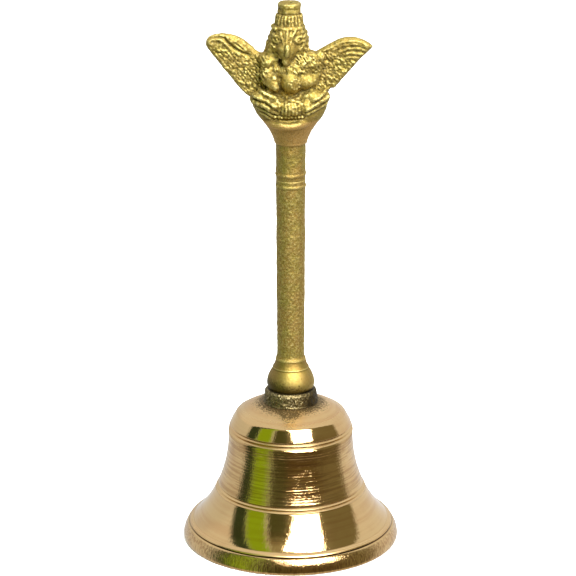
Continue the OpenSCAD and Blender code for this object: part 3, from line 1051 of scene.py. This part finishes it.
def shoulder_band(relief, side):
    """1 on the smooth long feathers along the top of a wing, 0 on the small ones."""
    if side < 0:
        line = [(-26, 154.6), (-22.5, 154.8), (-19.0, 154.4), (-16.5, 153.0), (-12.5, 151.6), (-9.0, 152.0)]
    else:
        line = [(8.0, 152.6), (11.5, 153.3), (14.5, 151.6), (17.5, 150.6), (20.0, 150.6), (25.0, 153.0)]
    line = np.array(line)
    above = relief.z - np.interp(relief.x, line[:, 0], line[:, 1])
    return np.clip(above / 0.6 + 0.5, 0.0, 1.0)


LEFT_RIBS = (
    (0.35, -0.45, [(-23.6, 157.5), (-21.5, 157.7), (-19.4, 157.4), (-18.5, 156.1), (-16.5, 154.3),
                   (-14.4, 153.2), (-12.2, 152.3)]),
    (0.45, 0.30, [(-24.0, 156.4), (-22.9, 157.0), (-20.6, 156.9), (-19.2, 155.7), (-17.5, 154.0),
                  (-15.0, 152.5)]),
    (0.40, 0.40, [(-18.7, 157.6), (-16.6, 156.4), (-14.4, 154.9), (-13.0, 153.8)]),
    (0.35, 0.32, [(-17.6, 156.4), (-15.4, 154.6), (-13.6, 153.4)]),
    (0.25, -0.35, [(-17.9, 157.2), (-15.6, 155.5), (-14.0, 154.2)]),
    (0.5, 0.25, [(-23.8, 155.6), (-22.0, 154.9), (-20.4, 155.4)]),
    (0.4, 0.2, [(-22.0, 153.8), (-19.8, 153.6), (-17.8, 152.6)]),
)
RIGHT_RIBS = (
    (0.42, 0.34, [(9.5, 153.6), (12.5, 155.0), (15.0, 156.2), (18.0, 156.7), (20.6, 156.2), (22.6, 155.2)]),
    (0.42, 0.34, [(12.5, 153.9), (15.0, 155.3), (17.6, 155.7), (20.4, 155.3), (22.4, 154.5)]),
    (0.40, 0.32, [(14.2, 153.3), (16.6, 154.2), (18.8, 154.3), (21.0, 153.9), (22.3, 153.6)]),
    (0.40, 0.30, [(15.6, 152.5), (17.6, 152.9), (19.4, 152.8), (21.2, 152.5)]),
    (0.36, 0.26, [(16.2, 151.4), (18.0, 151.5), (19.8, 151.4)]),
)


def add_ribs(relief, side):
    """Ribs as width, height and x, z path: long feathers and the hollows between them."""
    for wide, tall, path in LEFT_RIBS if side < 0 else RIGHT_RIBS:
        relief.rib(path, wide, tall)


add_wings(figure_clay)
print("wing span in mm:", min(x for x, _ in LEFT_WING), "to", max(x for x, _ in RIGHT_WING))

# %% [markdown]
# ## Chest, back and skin
# Hands have rubbed the belly smooth and the lap a little, so those are worn soft first. The chest carries
# chopped scales that run into the wings. The back is plainer: a fan of long tail feathers from the shoulders
# to the seat. Then a little sand grain goes into the field, the surface is skinned, and each point learns
# whether it lies in a hollow, where the patina will settle and shade is painted.

# %% Chest and back


def add_chest(clay):
    pick = np.random.default_rng(5)
    for row in range(7):
        for place in range(11):
            x = 0.6 + 0.85 * place + 0.42 * (row % 2) + pick.uniform(-0.15, 0.15)
            z = 148.2 + 0.72 * row + pick.uniform(-0.15, 0.15)
            if x > 1.0 + 0.25 * (z - 148) and not (7.0 < x < 10.0 and z > 151.0):
                slant = pick.uniform(0.2, 0.6)
                clay.trace([(x - slant, z + 0.35), (x + slant, z - 0.35)], 0.25, 0.1)
    for place in range(9):
        x = -4.6 + 0.7 * place
        clay.trace([(x - 0.15, 149.6 - 0.03 * place), (x + 0.2, 148.5 - 0.03 * place)], 0.22, 0.08)
    for place in range(26):
        x = pick.uniform(-9.8, -7.6)
        z = pick.uniform(144.0, 152.5)
        clay.trace([(x - 0.4, z + 0.45), (x + 0.3, z - 0.45)], 0.24, 0.08)


def add_back(clay):
    clay.ball((-0.2, 3.6, 144.5), (6.0, 2.2, 8.5), soft=1.5)
    feathers = 9
    for number in range(feathers):
        spread = (number - (feathers - 1) / 2) / (feathers - 1) * 2
        path = [(-0.2 + 4.6 * spread, 151.5), (-0.2 + 6.0 * spread, 145.0),
                (-0.2 + 7.4 * spread, 138.4 + abs(spread))]
        clay.trace(path, 0.48, 0.05, back=True)
    for row in range(4):
        for place in range(12):
            x = -6.6 + 1.15 * (place + 0.5 * (row % 2))
            clay.dab(x, 149.2 + 0.95 * row, (0.5, 0.4, 0.65), 0.1, back=True)
    lip = [(-0.2 + 8.6 * math.sin(t), 0.2 + 6.1 * math.cos(t), 134.2) for t in np.linspace(-1.1, 1.1, 14)]
    clay.strand(lip, 0.6, soft=0.5)


figure_clay.wear((0.5, -8.0, 145.8), (10.0, 9.0, 6.0), 7)
figure_clay.wear((0.0, -8.0, 139.0), (12.5, 9.0, 5.5), 1)
for turn in np.linspace(0.0, 2 * math.pi, 11)[1:]:
    figure_clay.dab(1.3 + 1.25 * math.cos(turn), 145.0 + 1.5 * math.sin(turn), 0.34, -0.05)
add_chest(figure_clay)
add_back(figure_clay)
print("back of the tail at y =", round(figure_clay.face(0.0, 145.0, back=True), 2))

# %% Skin of the figure


def add_grain(clay):
    near = np.abs(clay.field) < 1.0
    i, j, k = np.nonzero(near)
    x, y, z = clay.axes[0][i], clay.axes[1][j], clay.axes[2][k]
    rough = np.clip((z - SEAM_Z) / 1.0, 0.0, 1.0)
    above = 0.6 + 0.6 * np.clip((z - 135.0) / 3.0, 0.0, 1.0)
    calm = 1 - 0.55 * np.exp(-((x - 1.0) / 6.0) ** 2 - ((z - 145.0) / 3.5) ** 2) * (y < 0)
    calm = calm * (1 - 0.7 * np.clip((z - 125.2) / 0.6, 0, 1) * np.clip((133.5 - z) / 0.6, 0, 1))
    grain = calm * (0.12 * lumps(x, y, z, 1.5, 2.0) + 0.13 * lumps(x, y, z, 0.66, 8.0))
    clay.field[near] += rough * above * grain


add_grain(figure_clay)
figure_points, figure_quads = figure_clay.skin()
figure = make_piece("winged_figure", figure_points, figure_quads.tolist())
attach(figure, "bell")
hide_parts("finial_figure")
mark_hollows(figure, figure_points, figure_quads.tolist(), 5)
figure_ends = (figure_points.min(axis=0).round(2), figure_points.max(axis=0).round(2))
print("figure faces:", len(figure_quads), "low and high", *figure_ends)

# %% [markdown]
# ## The hanger
# Inside the cup an eye bolt comes down through washer and nut, and a wire link and the clapper's own eye hang
# in each other below it. All are bent from round wire, so each is a tube swept along a path in one plane, and
# each eye is left with the small gap where its end meets the shank.

# %% Sweeping wire
WIRE_R = 0.9
LINK_WIRE_R = 0.8


def sweep(path, across, radii, segments, touch=None):
    """Points and faces of a round wire along a path that lies in the plane square to across."""
    path = np.array(path, dtype=float)
    radii = np.broadcast_to(np.array(radii, dtype=float), (len(path),))
    across = np.array(across, dtype=float)
    along = np.gradient(path, axis=0)
    along /= np.linalg.norm(along, axis=1)[:, None]
    beside = np.cross(along, across)
    turns = 2 * np.pi * np.arange(segments) / segments
    reach = np.repeat(radii[:, None], segments, axis=1)
    if touch is not None:
        reach = touch(path, reach, turns)
    rings = path[:, None, :] + reach[:, :, None] * (np.cos(turns)[None, :, None] * beside[:, None, :]
                                                    + np.sin(turns)[None, :, None] * across[None, None, :])
    points = np.concatenate([rings.reshape(-1, 3), path[:1], path[-1:]])
    faces = []
    for ring in range(len(path) - 1):
        for corner in range(segments):
            after = (corner + 1) % segments
            faces.append([ring * segments + corner, ring * segments + after,
                          (ring + 1) * segments + after, (ring + 1) * segments + corner])
    first, last = len(points) - 2, len(points) - 1
    for corner in range(segments):
        after = (corner + 1) % segments
        faces.append([first, after, corner])
        faces.append([last, (len(path) - 1) * segments + corner, (len(path) - 1) * segments + after])
    return points, faces


def eye_path(centre_z, loop_r, up, neck_z, gap_degrees=14.0):
    """Down or up a shank, then nearly all the way round a loop, in the XZ plane."""
    turns = np.radians(np.linspace(24.0, 360.0 - gap_degrees, 64))
    loop = [(loop_r * math.sin(t), 0.0, centre_z + up * loop_r * math.cos(t)) for t in turns]
    start_x, _, start_z = loop[0]
    bend = curve((0.0, neck_z), (0.0, centre_z + up * loop_r), (start_x * 0.35, start_z + up * 0.25),
                 (start_x, start_z), 9)[:-1]
    return [(x, 0.0, z) for x, z in bend] + loop


print("wire radii in mm:", WIRE_R, LINK_WIRE_R)

# %% Eye bolt, washer and nut
bolt_low, bolt_high = node_box("eye_bolt")
nut_low, nut_high = node_box("crown_nut")
washer_low, washer_high = node_box("crown_washer")
EYE_R = (bolt_high[0] - bolt_low[0]) / 2 - WIRE_R
EYE_Z = bolt_low[2] + WIRE_R + EYE_R
BOLT_R = 1.98
THREAD_PITCH = 0.7
THREAD_DEPTH = 0.16
SMALL_SEGMENTS = 72


def bolt_thread(path, reach, turns):
    on_shank = np.clip((path[:, 2] - (EYE_Z + EYE_R + 0.8)) / 0.5, 0, 1)[:, None]
    phase = (path[:, 2][:, None] / THREAD_PITCH + turns[None, :] / (2 * np.pi)) % 1.0
    return reach - on_shank * THREAD_DEPTH * np.abs(2 * phase - 1)


shank = [(0.0, 0.0, z) for z in np.arange(bolt_high[2], EYE_Z + EYE_R + 1.0, -THREAD_PITCH / 6)]
eye = eye_path(EYE_Z, EYE_R, 1, EYE_Z + EYE_R + 0.9)
bolt_path = shank + eye
bolt_radii = np.where(np.arange(len(bolt_path)) < len(shank), BOLT_R, WIRE_R)
bolt_radii[len(shank):len(shank) + 8] = np.linspace(BOLT_R - 0.1, WIRE_R, 8)
eye_bolt_points, eye_bolt_faces = sweep(bolt_path, (0, 1, 0), bolt_radii, 28, bolt_thread)
eye_bolt = make_piece("threaded_eye_bolt", eye_bolt_points, eye_bolt_faces)
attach(eye_bolt, "bell")
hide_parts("eye_bolt")

washer_base, washer_top = washer_low[2], washer_high[2]
washer_loop = [(2.2, washer_base + 0.05), (2.3, washer_base), (5.3, washer_base), (5.5, washer_base + 0.2),
               (5.5, washer_top - 0.12), (5.4, washer_top), (2.3, washer_top), (2.2, washer_top - 0.05)]


def plated_face(radius, height, angle):
    x, y = radius * np.sin(angle), radius * np.cos(angle)
    return radius + 0.03 * lumps(x, y, height, 1.3), height


washer_points, washer_faces = spin(np.array(washer_loop)[::-1], SMALL_SEGMENTS, True, plated_face)
washer = make_piece("plate_washer", washer_points, washer_faces)
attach(washer, "bell")
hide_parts("crown_washer")


def hexagon(radius, height, angle):
    """Cuts the outer wall of a round blank to six flats, with its corners chamfered."""
    sector = (angle + math.radians(30)) % math.radians(60) - math.radians(30)
    flat = (nut_high[1] - nut_low[1]) / 2 / np.cos(sector)
    return np.where(radius > 3.0, np.minimum(flat, radius), radius), height


nut_rows = [(2.0, nut_low[2] + 0.25), (2.3, nut_low[2]), (3.45, nut_low[2]), (3.62, nut_low[2] + 0.08),
            (4.05, nut_low[2] + 0.36), (4.05, nut_high[2] - 0.36), (3.62, nut_high[2] - 0.08),
            (3.45, nut_high[2]), (2.3, nut_high[2]), (2.0, nut_high[2] - 0.25)]
nut_points, nut_faces = spin(np.array(nut_rows)[::-1], SMALL_SEGMENTS, True, hexagon)
nut = make_piece("hex_nut", nut_points, nut_faces)
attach(nut, "bell")
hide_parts("crown_nut")
print("eye radius", round(EYE_R, 2), "bolt length", round(bolt_high[2] - bolt_low[2], 1))

# %% Link, clapper rod and ball
link_low, link_high = node_box("wire_link")
rod_low, rod_high = node_box("clapper_rod")
ball_low, ball_high = node_box("clapper_ball")
LINK_R = (link_high[2] - link_low[2]) / 2 - LINK_WIRE_R
LINK_Z = (link_high[2] + link_low[2]) / 2
ROD_EYE_R = (rod_high[0] - rod_low[0]) / 2 - WIRE_R
ROD_EYE_Z = rod_high[2] - WIRE_R - ROD_EYE_R
BALL_Z = (ball_high[2] + ball_low[2]) / 2
BALL_R = (ball_high[0] - ball_low[0]) / 2
BALL_FLAT_R = 2.2

link_path = [(0.0, LINK_R * math.sin(t), LINK_Z + LINK_R * math.cos(t))
             for t in np.radians(np.linspace(96.0, 446.0, 84))]
link_points, link_faces = sweep(link_path, (1, 0, 0), LINK_WIRE_R, 22)
link = make_piece("wire_ring", link_points, link_faces)
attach(link, "link")
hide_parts("wire_link")

rod_neck_z = ROD_EYE_Z - ROD_EYE_R - 1.6
rod_base = rod_low[2]
rod_line = [(0.0, 0.0, z) for z in np.linspace(rod_base, rod_neck_z, 30)]
rod_radii = np.array([1.35, 1.8, 1.8, 1.5] + [WIRE_R] * 26)
for number, rise in ((1, 0.2), (2, 0.5), (3, 0.68), (4, 0.75)):
    rod_line[number] = (0.0, 0.0, rod_base + rise)
rod_eye = eye_path(ROD_EYE_Z, ROD_EYE_R, -1, rod_neck_z + 0.5)
rod_path = rod_line + rod_eye
rod_radii = np.concatenate([rod_radii, np.full(len(rod_eye), WIRE_R)])
rod_points, rod_faces = sweep(rod_path, (0, 1, 0), rod_radii, 22)
clapper_rod = make_piece("clapper_wire", rod_points, rod_faces)
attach(clapper_rod, "clapper")
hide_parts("clapper_rod")


def worn_ball(radius, height, angle):
    x, y = radius * np.sin(angle), radius * np.cos(angle)
    outside = np.clip((radius - 2.0) / 1.0, 0.0, 1.0)
    seam = 0.05 * np.exp(-((height - BALL_Z) / 0.25) ** 2)
    dents = 0.10 * lumps(x, y, height, 2.2, 1.0) + 0.035 * lumps(x, y, height, 0.7, 4.0) - 0.08
    return radius + outside * (dents + seam), height


ball_reach = math.asin(BALL_FLAT_R / BALL_R)
ball_turns = np.linspace(ball_reach, math.pi - ball_reach, 64)
ball_arc = [(BALL_R * math.sin(t), BALL_Z - BALL_R * math.cos(t)) for t in ball_turns]
ball_outline = [(WIRE_R + 0.08, ball_arc[0][1]), (BALL_FLAT_R - 0.2, ball_arc[0][1])] + ball_arc
ball_outline += [(BALL_FLAT_R - 0.2, ball_arc[-1][1]), (WIRE_R + 0.08, ball_arc[-1][1])]
ball_points, ball_faces = spin(np.array(ball_outline), 96, True, worn_ball)
ball = make_piece("cast_ball", ball_points, ball_faces)
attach(ball, "clapper")
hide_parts("clapper_ball")
mark_hollows(ball, ball_points, ball_faces, 4)
print("link radius", round(LINK_R, 2), "ball radius", round(BALL_R, 2))

# %% [markdown]
# ## Metal shader
# Every metal here is one Principled shader with a colour, a roughness and a bump. The colour of brass is the
# colour of its reflection, so base colours are what white light turns into. Places come from object
# coordinates in millimetres, because the meshes carry no texture coordinates.

# %% Metal maker


def start_material(name):
    material = bpy.data.materials.new(name)
    material.use_nodes = True
    material.node_tree.nodes.clear()
    g = Graph(material.node_tree)
    place = g.node("ShaderNodeTexCoord", None, None, output=3)
    place = g.node("ShaderNodeVectorMath", {"operation": "SCALE"}, {0: place, "Scale": 1.0 / MM})
    return material, g, place


def finish_metal(g, colour, roughness, height=None, bump_mm=0.05, metallic=1.0):
    inputs = {"Base Color": colour, "Roughness": roughness, "Metallic": metallic}
    if height is not None:
        bump = {"Strength": 1.0, "Distance": bump_mm * MM, "Height": height}
        inputs["Normal"] = g.node("ShaderNodeBump", None, bump)
    shader = g.node("ShaderNodeBsdfPrincipled", None, inputs)
    g.node("ShaderNodeOutputMaterial", None, {"Surface": shader})


def distance_from_axis(g, x, y):
    return g.node("ShaderNodeMath", {"operation": "SQRT"}, {0: x * x + y * y})


def attribute(g, name):
    """A value that the mesh stores at each point."""
    return g.node("ShaderNodeAttribute", {"attribute_name": name}, None, output=2)


print("metal maker ready")

# %% [markdown]
# ## Turned brass
# The cup is bright from the lathe, but rings of tool marks blur what it mirrors, most of all on the waist.
# Those rings depend only on how far along the outline a point is. Height minus radius grows steadily along
# it, so a noise of that one number gives rings. Soot from the collar is brushed over the crown, and the
# inside is browner and duller than the outside.

# %% Turned brass
BRASS = (0.68, 0.475, 0.22, 1.0)
RED_BRASS = (0.62, 0.40, 0.18, 1.0)
# Tarnish colour. It also paints shade in the hollows and along the tool rings.
TARNISH_AND_SHADE = (0.36, 0.20, 0.075, 1.0)
# Soot colour. It also paints shade in the lip groove and in the pits.
SOOT_AND_SHADE = (0.085, 0.060, 0.022, 1.0)
SOOT_END = 13.2


def stretched(g, x, y, z, across, along):
    """A noise place squeezed by one factor round the cup and by another along its height."""
    return g.node("ShaderNodeCombineXYZ", None, {0: x * across, 1: y * across, 2: z * along})


def turned_brass():
    material, g, place = start_material("turned_brass")
    x, y, z = g.split(place)
    radius = distance_from_axis(g, x, y)
    along = z - radius
    inside = attribute(g, "inside")
    outside = 1 - inside
    waist = g.band(z, RINGS_FOOT_Z, RINGS_TOP_Z, 0.5) * outside
    beads = (g.band(z, 15.9, 17.6, 0.12) + g.band(z, 34.8, 36.8, 0.12) + g.band(z, 5.2, 6.1, 0.1)) * outside
    lip = (1 - g.step(z, 4.4, 5.0)) * outside
    rings = g.noise(stretched(g, x, y, along, 0.06, 1.15), 1.0, 3.0, 0.7)
    broad_rings = g.noise(stretched(g, x, y, along, 0.02, 0.45), 1.0, 2.0, 0.6)
    scratches = g.noise(stretched(g, x, y, z, 0.75, 2.0), 1.0, 3.0, 0.7)
    streaks = g.noise(stretched(g, x, y, z, 1.15, 0.10), 1.0, 3.0, 0.65)
    chatter = g.noise(stretched(g, x, y, z, 1.9, 0.30), 1.0, 3.0, 0.7)
    cloud = g.noise(place, 0.16, 3.0, 0.55)
    soot_noise = g.noise(place, 1.9, 4.0, 0.75)
    smear = g.band(x, -3.0, 2.4, 1.4) * (1 - g.step(y, -9.0, -6.0)) * 2.6
    crown = g.step(z, 40.3, 40.8)
    fade = 1 - g.step(radius - smear, 8.3, SOOT_END)
    clear = 0.61 - fade * 0.24
    soot = g.step(soot_noise, clear, clear + 0.07) * g.step(fade, 0.02, 0.12) * crown
    haze = (1 - g.step(radius - cloud * 6.0, 8.0, 13.5)) * crown
    pits = g.step(g.noise(place, 0.85, 2.0, 0.8), 0.775, 0.79)
    hollow = g.step(attribute(g, "hollow"), 0.72, 0.95)
    colour = g.mix(g.step(broad_rings + (cloud - 0.5) * 0.5, 0.35, 0.75), BRASS, RED_BRASS)
    red_part = g.step(z, 26.0, 34.0) * waist * g.step(cloud + scratches * 0.4, 0.55, 0.85)
    colour = g.mix(red_part * 0.6, colour, TARNISH_AND_SHADE)
    # Dark stripes along the tool rings: tarnish in them, and painted shade standing in for the ripples'
    # darker reflections.
    colour = g.mix(waist * g.step(rings, 0.45, 0.57) * 0.50, colour, TARNISH_AND_SHADE)
    colour = g.mix(lip * g.step(chatter, 0.44, 0.58) * 0.65, colour, TARNISH_AND_SHADE)
    colour = g.mix(haze * 0.12, colour, TARNISH_AND_SHADE)
    # The hollows of the beads and grooves are darkened: tarnish there, and painted shade.
    colour = g.mix(hollow * (0.55 - waist * 0.25), colour, TARNISH_AND_SHADE)
    # A dark line in the lip groove: dirt in it, and painted shade.
    colour = g.mix(g.band(z, 4.95, 5.28, 0.06) * outside * 0.7, colour, SOOT_AND_SHADE)
    colour = g.mix(inside * g.step(cloud, 0.30, 0.70) * 0.75, colour, TARNISH_AND_SHADE)
    colour = g.mix(soot * 0.90, colour, SOOT_AND_SHADE)
    # The pits are darkened: dirt in them, and painted shade.
    colour = g.mix(pits * 0.8, colour, SOOT_AND_SHADE)
    roughness = 0.080 + inside * 0.20 + waist * 0.07 + beads * 0.20 + lip * 0.05
    roughness = roughness + (rings - 0.5) * 0.08 + crown * 0.16 + haze * 0.12 + soot * 0.2
    grooves = rings * (0.35 + waist * 3.4) + scratches * waist * 3.0
    height = grooves + streaks * 1.5 + chatter * lip * 4.5 + soot * soot_noise * 2.0 - pits * 2.0
    finish_metal(g, colour, roughness, height, 0.02)
    return material


cup.data.materials.append(turned_brass())
print("turned brass on", cup.name)

# %% [markdown]
# ## Cast brass
# Sand-cast brass is grainy and yellow, polished only where hands rub it. The stored hollows darken to an
# olive patina that also paints their shade, and the proud places stay bright, which draws every feather
# and fold.

# %% Cast brass
CAST_BRASS = (0.32, 0.242, 0.052, 1.0)
CAST_BROWN = (0.325, 0.212, 0.052, 1.0)
CAST_RUBBED = (0.64, 0.54, 0.205, 1.0)
# Pale colour for painted glints in the grain.
PALE_GLINT = (0.70, 0.62, 0.34, 1.0)
NECK_BROWN = (0.52, 0.32, 0.105, 1.0)
BULB_BROWN = (0.20, 0.13, 0.042, 1.0)
# Patina colour. It also paints shade in hollows, in pits and at the foot of the bulb.
PATINA_AND_SHADE = (0.075, 0.055, 0.012, 1.0)


def cast_brass():
    material, g, place = start_material("cast_brass")
    x, _, z = g.split(place)
    hollow = attribute(g, "hollow")
    cloud = g.noise(place, 0.22, 3.0, 0.6)
    grain = g.noise(place, 1.7, 4.0, 0.7)
    fine = g.noise(place, 4.5, 2.0, 0.6)
    sculpted = g.step(z, 132.5, 135.5)
    bulb = 1 - g.step(z, 56.5, 58.5)
    deep = g.step(hollow, 0.48, 0.88) * (0.25 + sculpted * 0.52)
    proud = 1 - g.step(hollow, 0.10, 0.45)
    # The foot of the bulb is darkened, higher on the left: soot, and a painted dark reflection of the cup
    # below.
    foot = 1 - g.step(z + (grain - 0.5) * 5.0 + x * 0.22, BULB_FOOT_Z + 0.8, BULB_FOOT_Z + 3.6)
    colour = g.mix(g.step(cloud, 0.36, 0.62) * (1 - sculpted * 0.5), CAST_BRASS, CAST_BROWN)
    colour = g.mix(bulb * (0.30 + (1 - g.step(x, -5.0, 0.0)) * 0.35), colour, BULB_BROWN)
    colour = g.mix(g.band(z, 125.5, 133.2, 0.3) * 0.85, colour, NECK_BROWN)
    # The deep hollows take the patina, which is also painted shade.
    colour = g.mix(deep, colour, PATINA_AND_SHADE)
    colour = g.mix(g.step(grain, 0.55, 0.70) * (0.55 - bulb * 0.3), colour, PATINA_AND_SHADE)
    colour = g.mix(proud * (0.30 + sculpted * 0.55 - g.step(z, 144.0, 158.0) * 0.30), colour, CAST_RUBBED)
    # Soot and painted reflection at the foot of the bulb.
    colour = g.mix(foot * 0.9, colour, PATINA_AND_SHADE)
    # Pale specks in the fine grain are painted glints.
    speck = g.step(fine, 0.52, 0.66) * (1 - bulb)
    colour = g.mix(speck * 0.35, colour, PALE_GLINT)
    colour = g.mix((1 - g.step(fine, 0.34, 0.47)) * (1 - bulb) * (1 - sculpted) * 0.55, colour, PATINA_AND_SHADE)
    pits = g.step(g.noise(place, 0.95, 2.0, 0.8), 0.68, 0.72) * bulb
    # The pits on the bulb are darkened: patina in them, and painted shade.
    colour = g.mix(pits * 0.8, colour, PATINA_AND_SHADE)
    roughness = 0.60 + (cloud - 0.5) * 0.2 + g.step(hollow, 0.5, 0.9) * 0.10
    roughness = roughness - proud * sculpted * 0.08 - bulb * 0.07
    finish_metal(g, colour, roughness, grain * (1 - bulb * 0.35) + fine * (0.25 + sculpted * 0.35), 0.16)
    return material


cast_metal = cast_brass()
grip.data.materials.append(cast_metal)
figure.data.materials.append(cast_metal)
print("cast brass on", grip.name, "and", figure.name)

# %% [markdown]
# ## Sooty collar, ball, wire and zinc
# The collar kept its casting skin: nearly black, with bright specks where the lumps were rubbed. The ball is
# dull brass with dents from striking. The wire is drawn iron, brown with a little rust, and washer and nut
# are plated, so they are pale with cloudy spots.

# %% Other metals


def sooty_brass():
    material, g, place = start_material("sooty_brass")
    x, y, _ = g.split(place)
    hollow = attribute(g, "hollow")
    mottle = g.noise(place, 0.9, 4.0, 0.7)
    sparkle = g.noise(place, 3.2, 3.0, 0.8)
    proud = 1 - g.step(hollow, 0.10, 0.50)
    colour = g.mix(g.step(mottle, 0.35, 0.7), (0.040, 0.028, 0.010, 1.0), (0.17, 0.125, 0.048, 1.0))
    # The right front is darker, and has fewer bright specks.
    dark_right_front = g.step(x, 1.0, 6.0) * (1 - g.step(y, -1.0, 3.0))
    colour = g.mix(dark_right_front * 0.6, colour, (0.020, 0.014, 0.006, 1.0))
    bright = (0.35 + proud * 0.65) * g.step(sparkle, 0.48, 0.58) * (0.8 - dark_right_front * 0.65)
    colour = g.mix(bright, colour, (0.60, 0.50, 0.27, 1.0))
    roughness = 0.48 - bright * 0.14 + (mottle - 0.5) * 0.2
    finish_metal(g, colour, roughness, sparkle + mottle, 0.12)
    return material


def ball_brass():
    material, g, place = start_material("ball_brass")
    hollow = attribute(g, "hollow")
    cloud = g.noise(place, 0.35, 4.0, 0.6)
    grain = g.noise(place, 3.0, 3.0, 0.7)
    colour = g.mix(g.step(cloud, 0.35, 0.65), (0.56, 0.40, 0.15, 1.0), (0.38, 0.25, 0.09, 1.0))
    # The dents take patina, which is also painted shade.
    colour = g.mix(g.step(hollow, 0.55, 0.95) * 0.6, colour, PATINA_AND_SHADE)
    roughness = 0.32 + (cloud - 0.5) * 0.25
    finish_metal(g, colour, roughness, grain, 0.04)
    return material


def iron_wire():
    material, g, place = start_material("iron_wire")
    cloud = g.noise(place, 0.6, 4.0, 0.65)
    grain = g.noise(place, 4.0, 3.0, 0.7)
    rust = g.step(cloud, 0.52, 0.64)
    colour = g.mix(grain, (0.17, 0.15, 0.13, 1.0), (0.34, 0.31, 0.28, 1.0))
    colour = g.mix(rust * 0.75, colour, (0.16, 0.065, 0.025, 1.0))
    finish_metal(g, colour, 0.36 + rust * 0.35, grain + rust * 0.6, 0.04, 1 - rust * 0.6)
    return material


def zinc_steel():
    material, g, place = start_material("zinc_steel")
    cloud = g.noise(place, 0.5, 3.0, 0.6)
    grain = g.noise(place, 5.0, 2.0, 0.6)
    colour = g.mix(cloud, (0.66, 0.66, 0.64, 1.0), (0.46, 0.47, 0.48, 1.0))
    colour = g.mix(g.step(grain, 0.62, 0.72) * 0.5, colour, (0.25, 0.22, 0.17, 1.0))
    finish_metal(g, colour, 0.30 + cloud * 0.2, grain, 0.03)
    return material


collar.data.materials.append(sooty_brass())
ball.data.materials.append(ball_brass())
wire_metal = iron_wire()
plated_metal = zinc_steel()
for piece in (eye_bolt, link, clapper_rod):
    piece.data.materials.append(wire_metal)
for piece in (washer, nut):
    piece.data.materials.append(plated_metal)
print("materials:", len(bpy.data.materials))
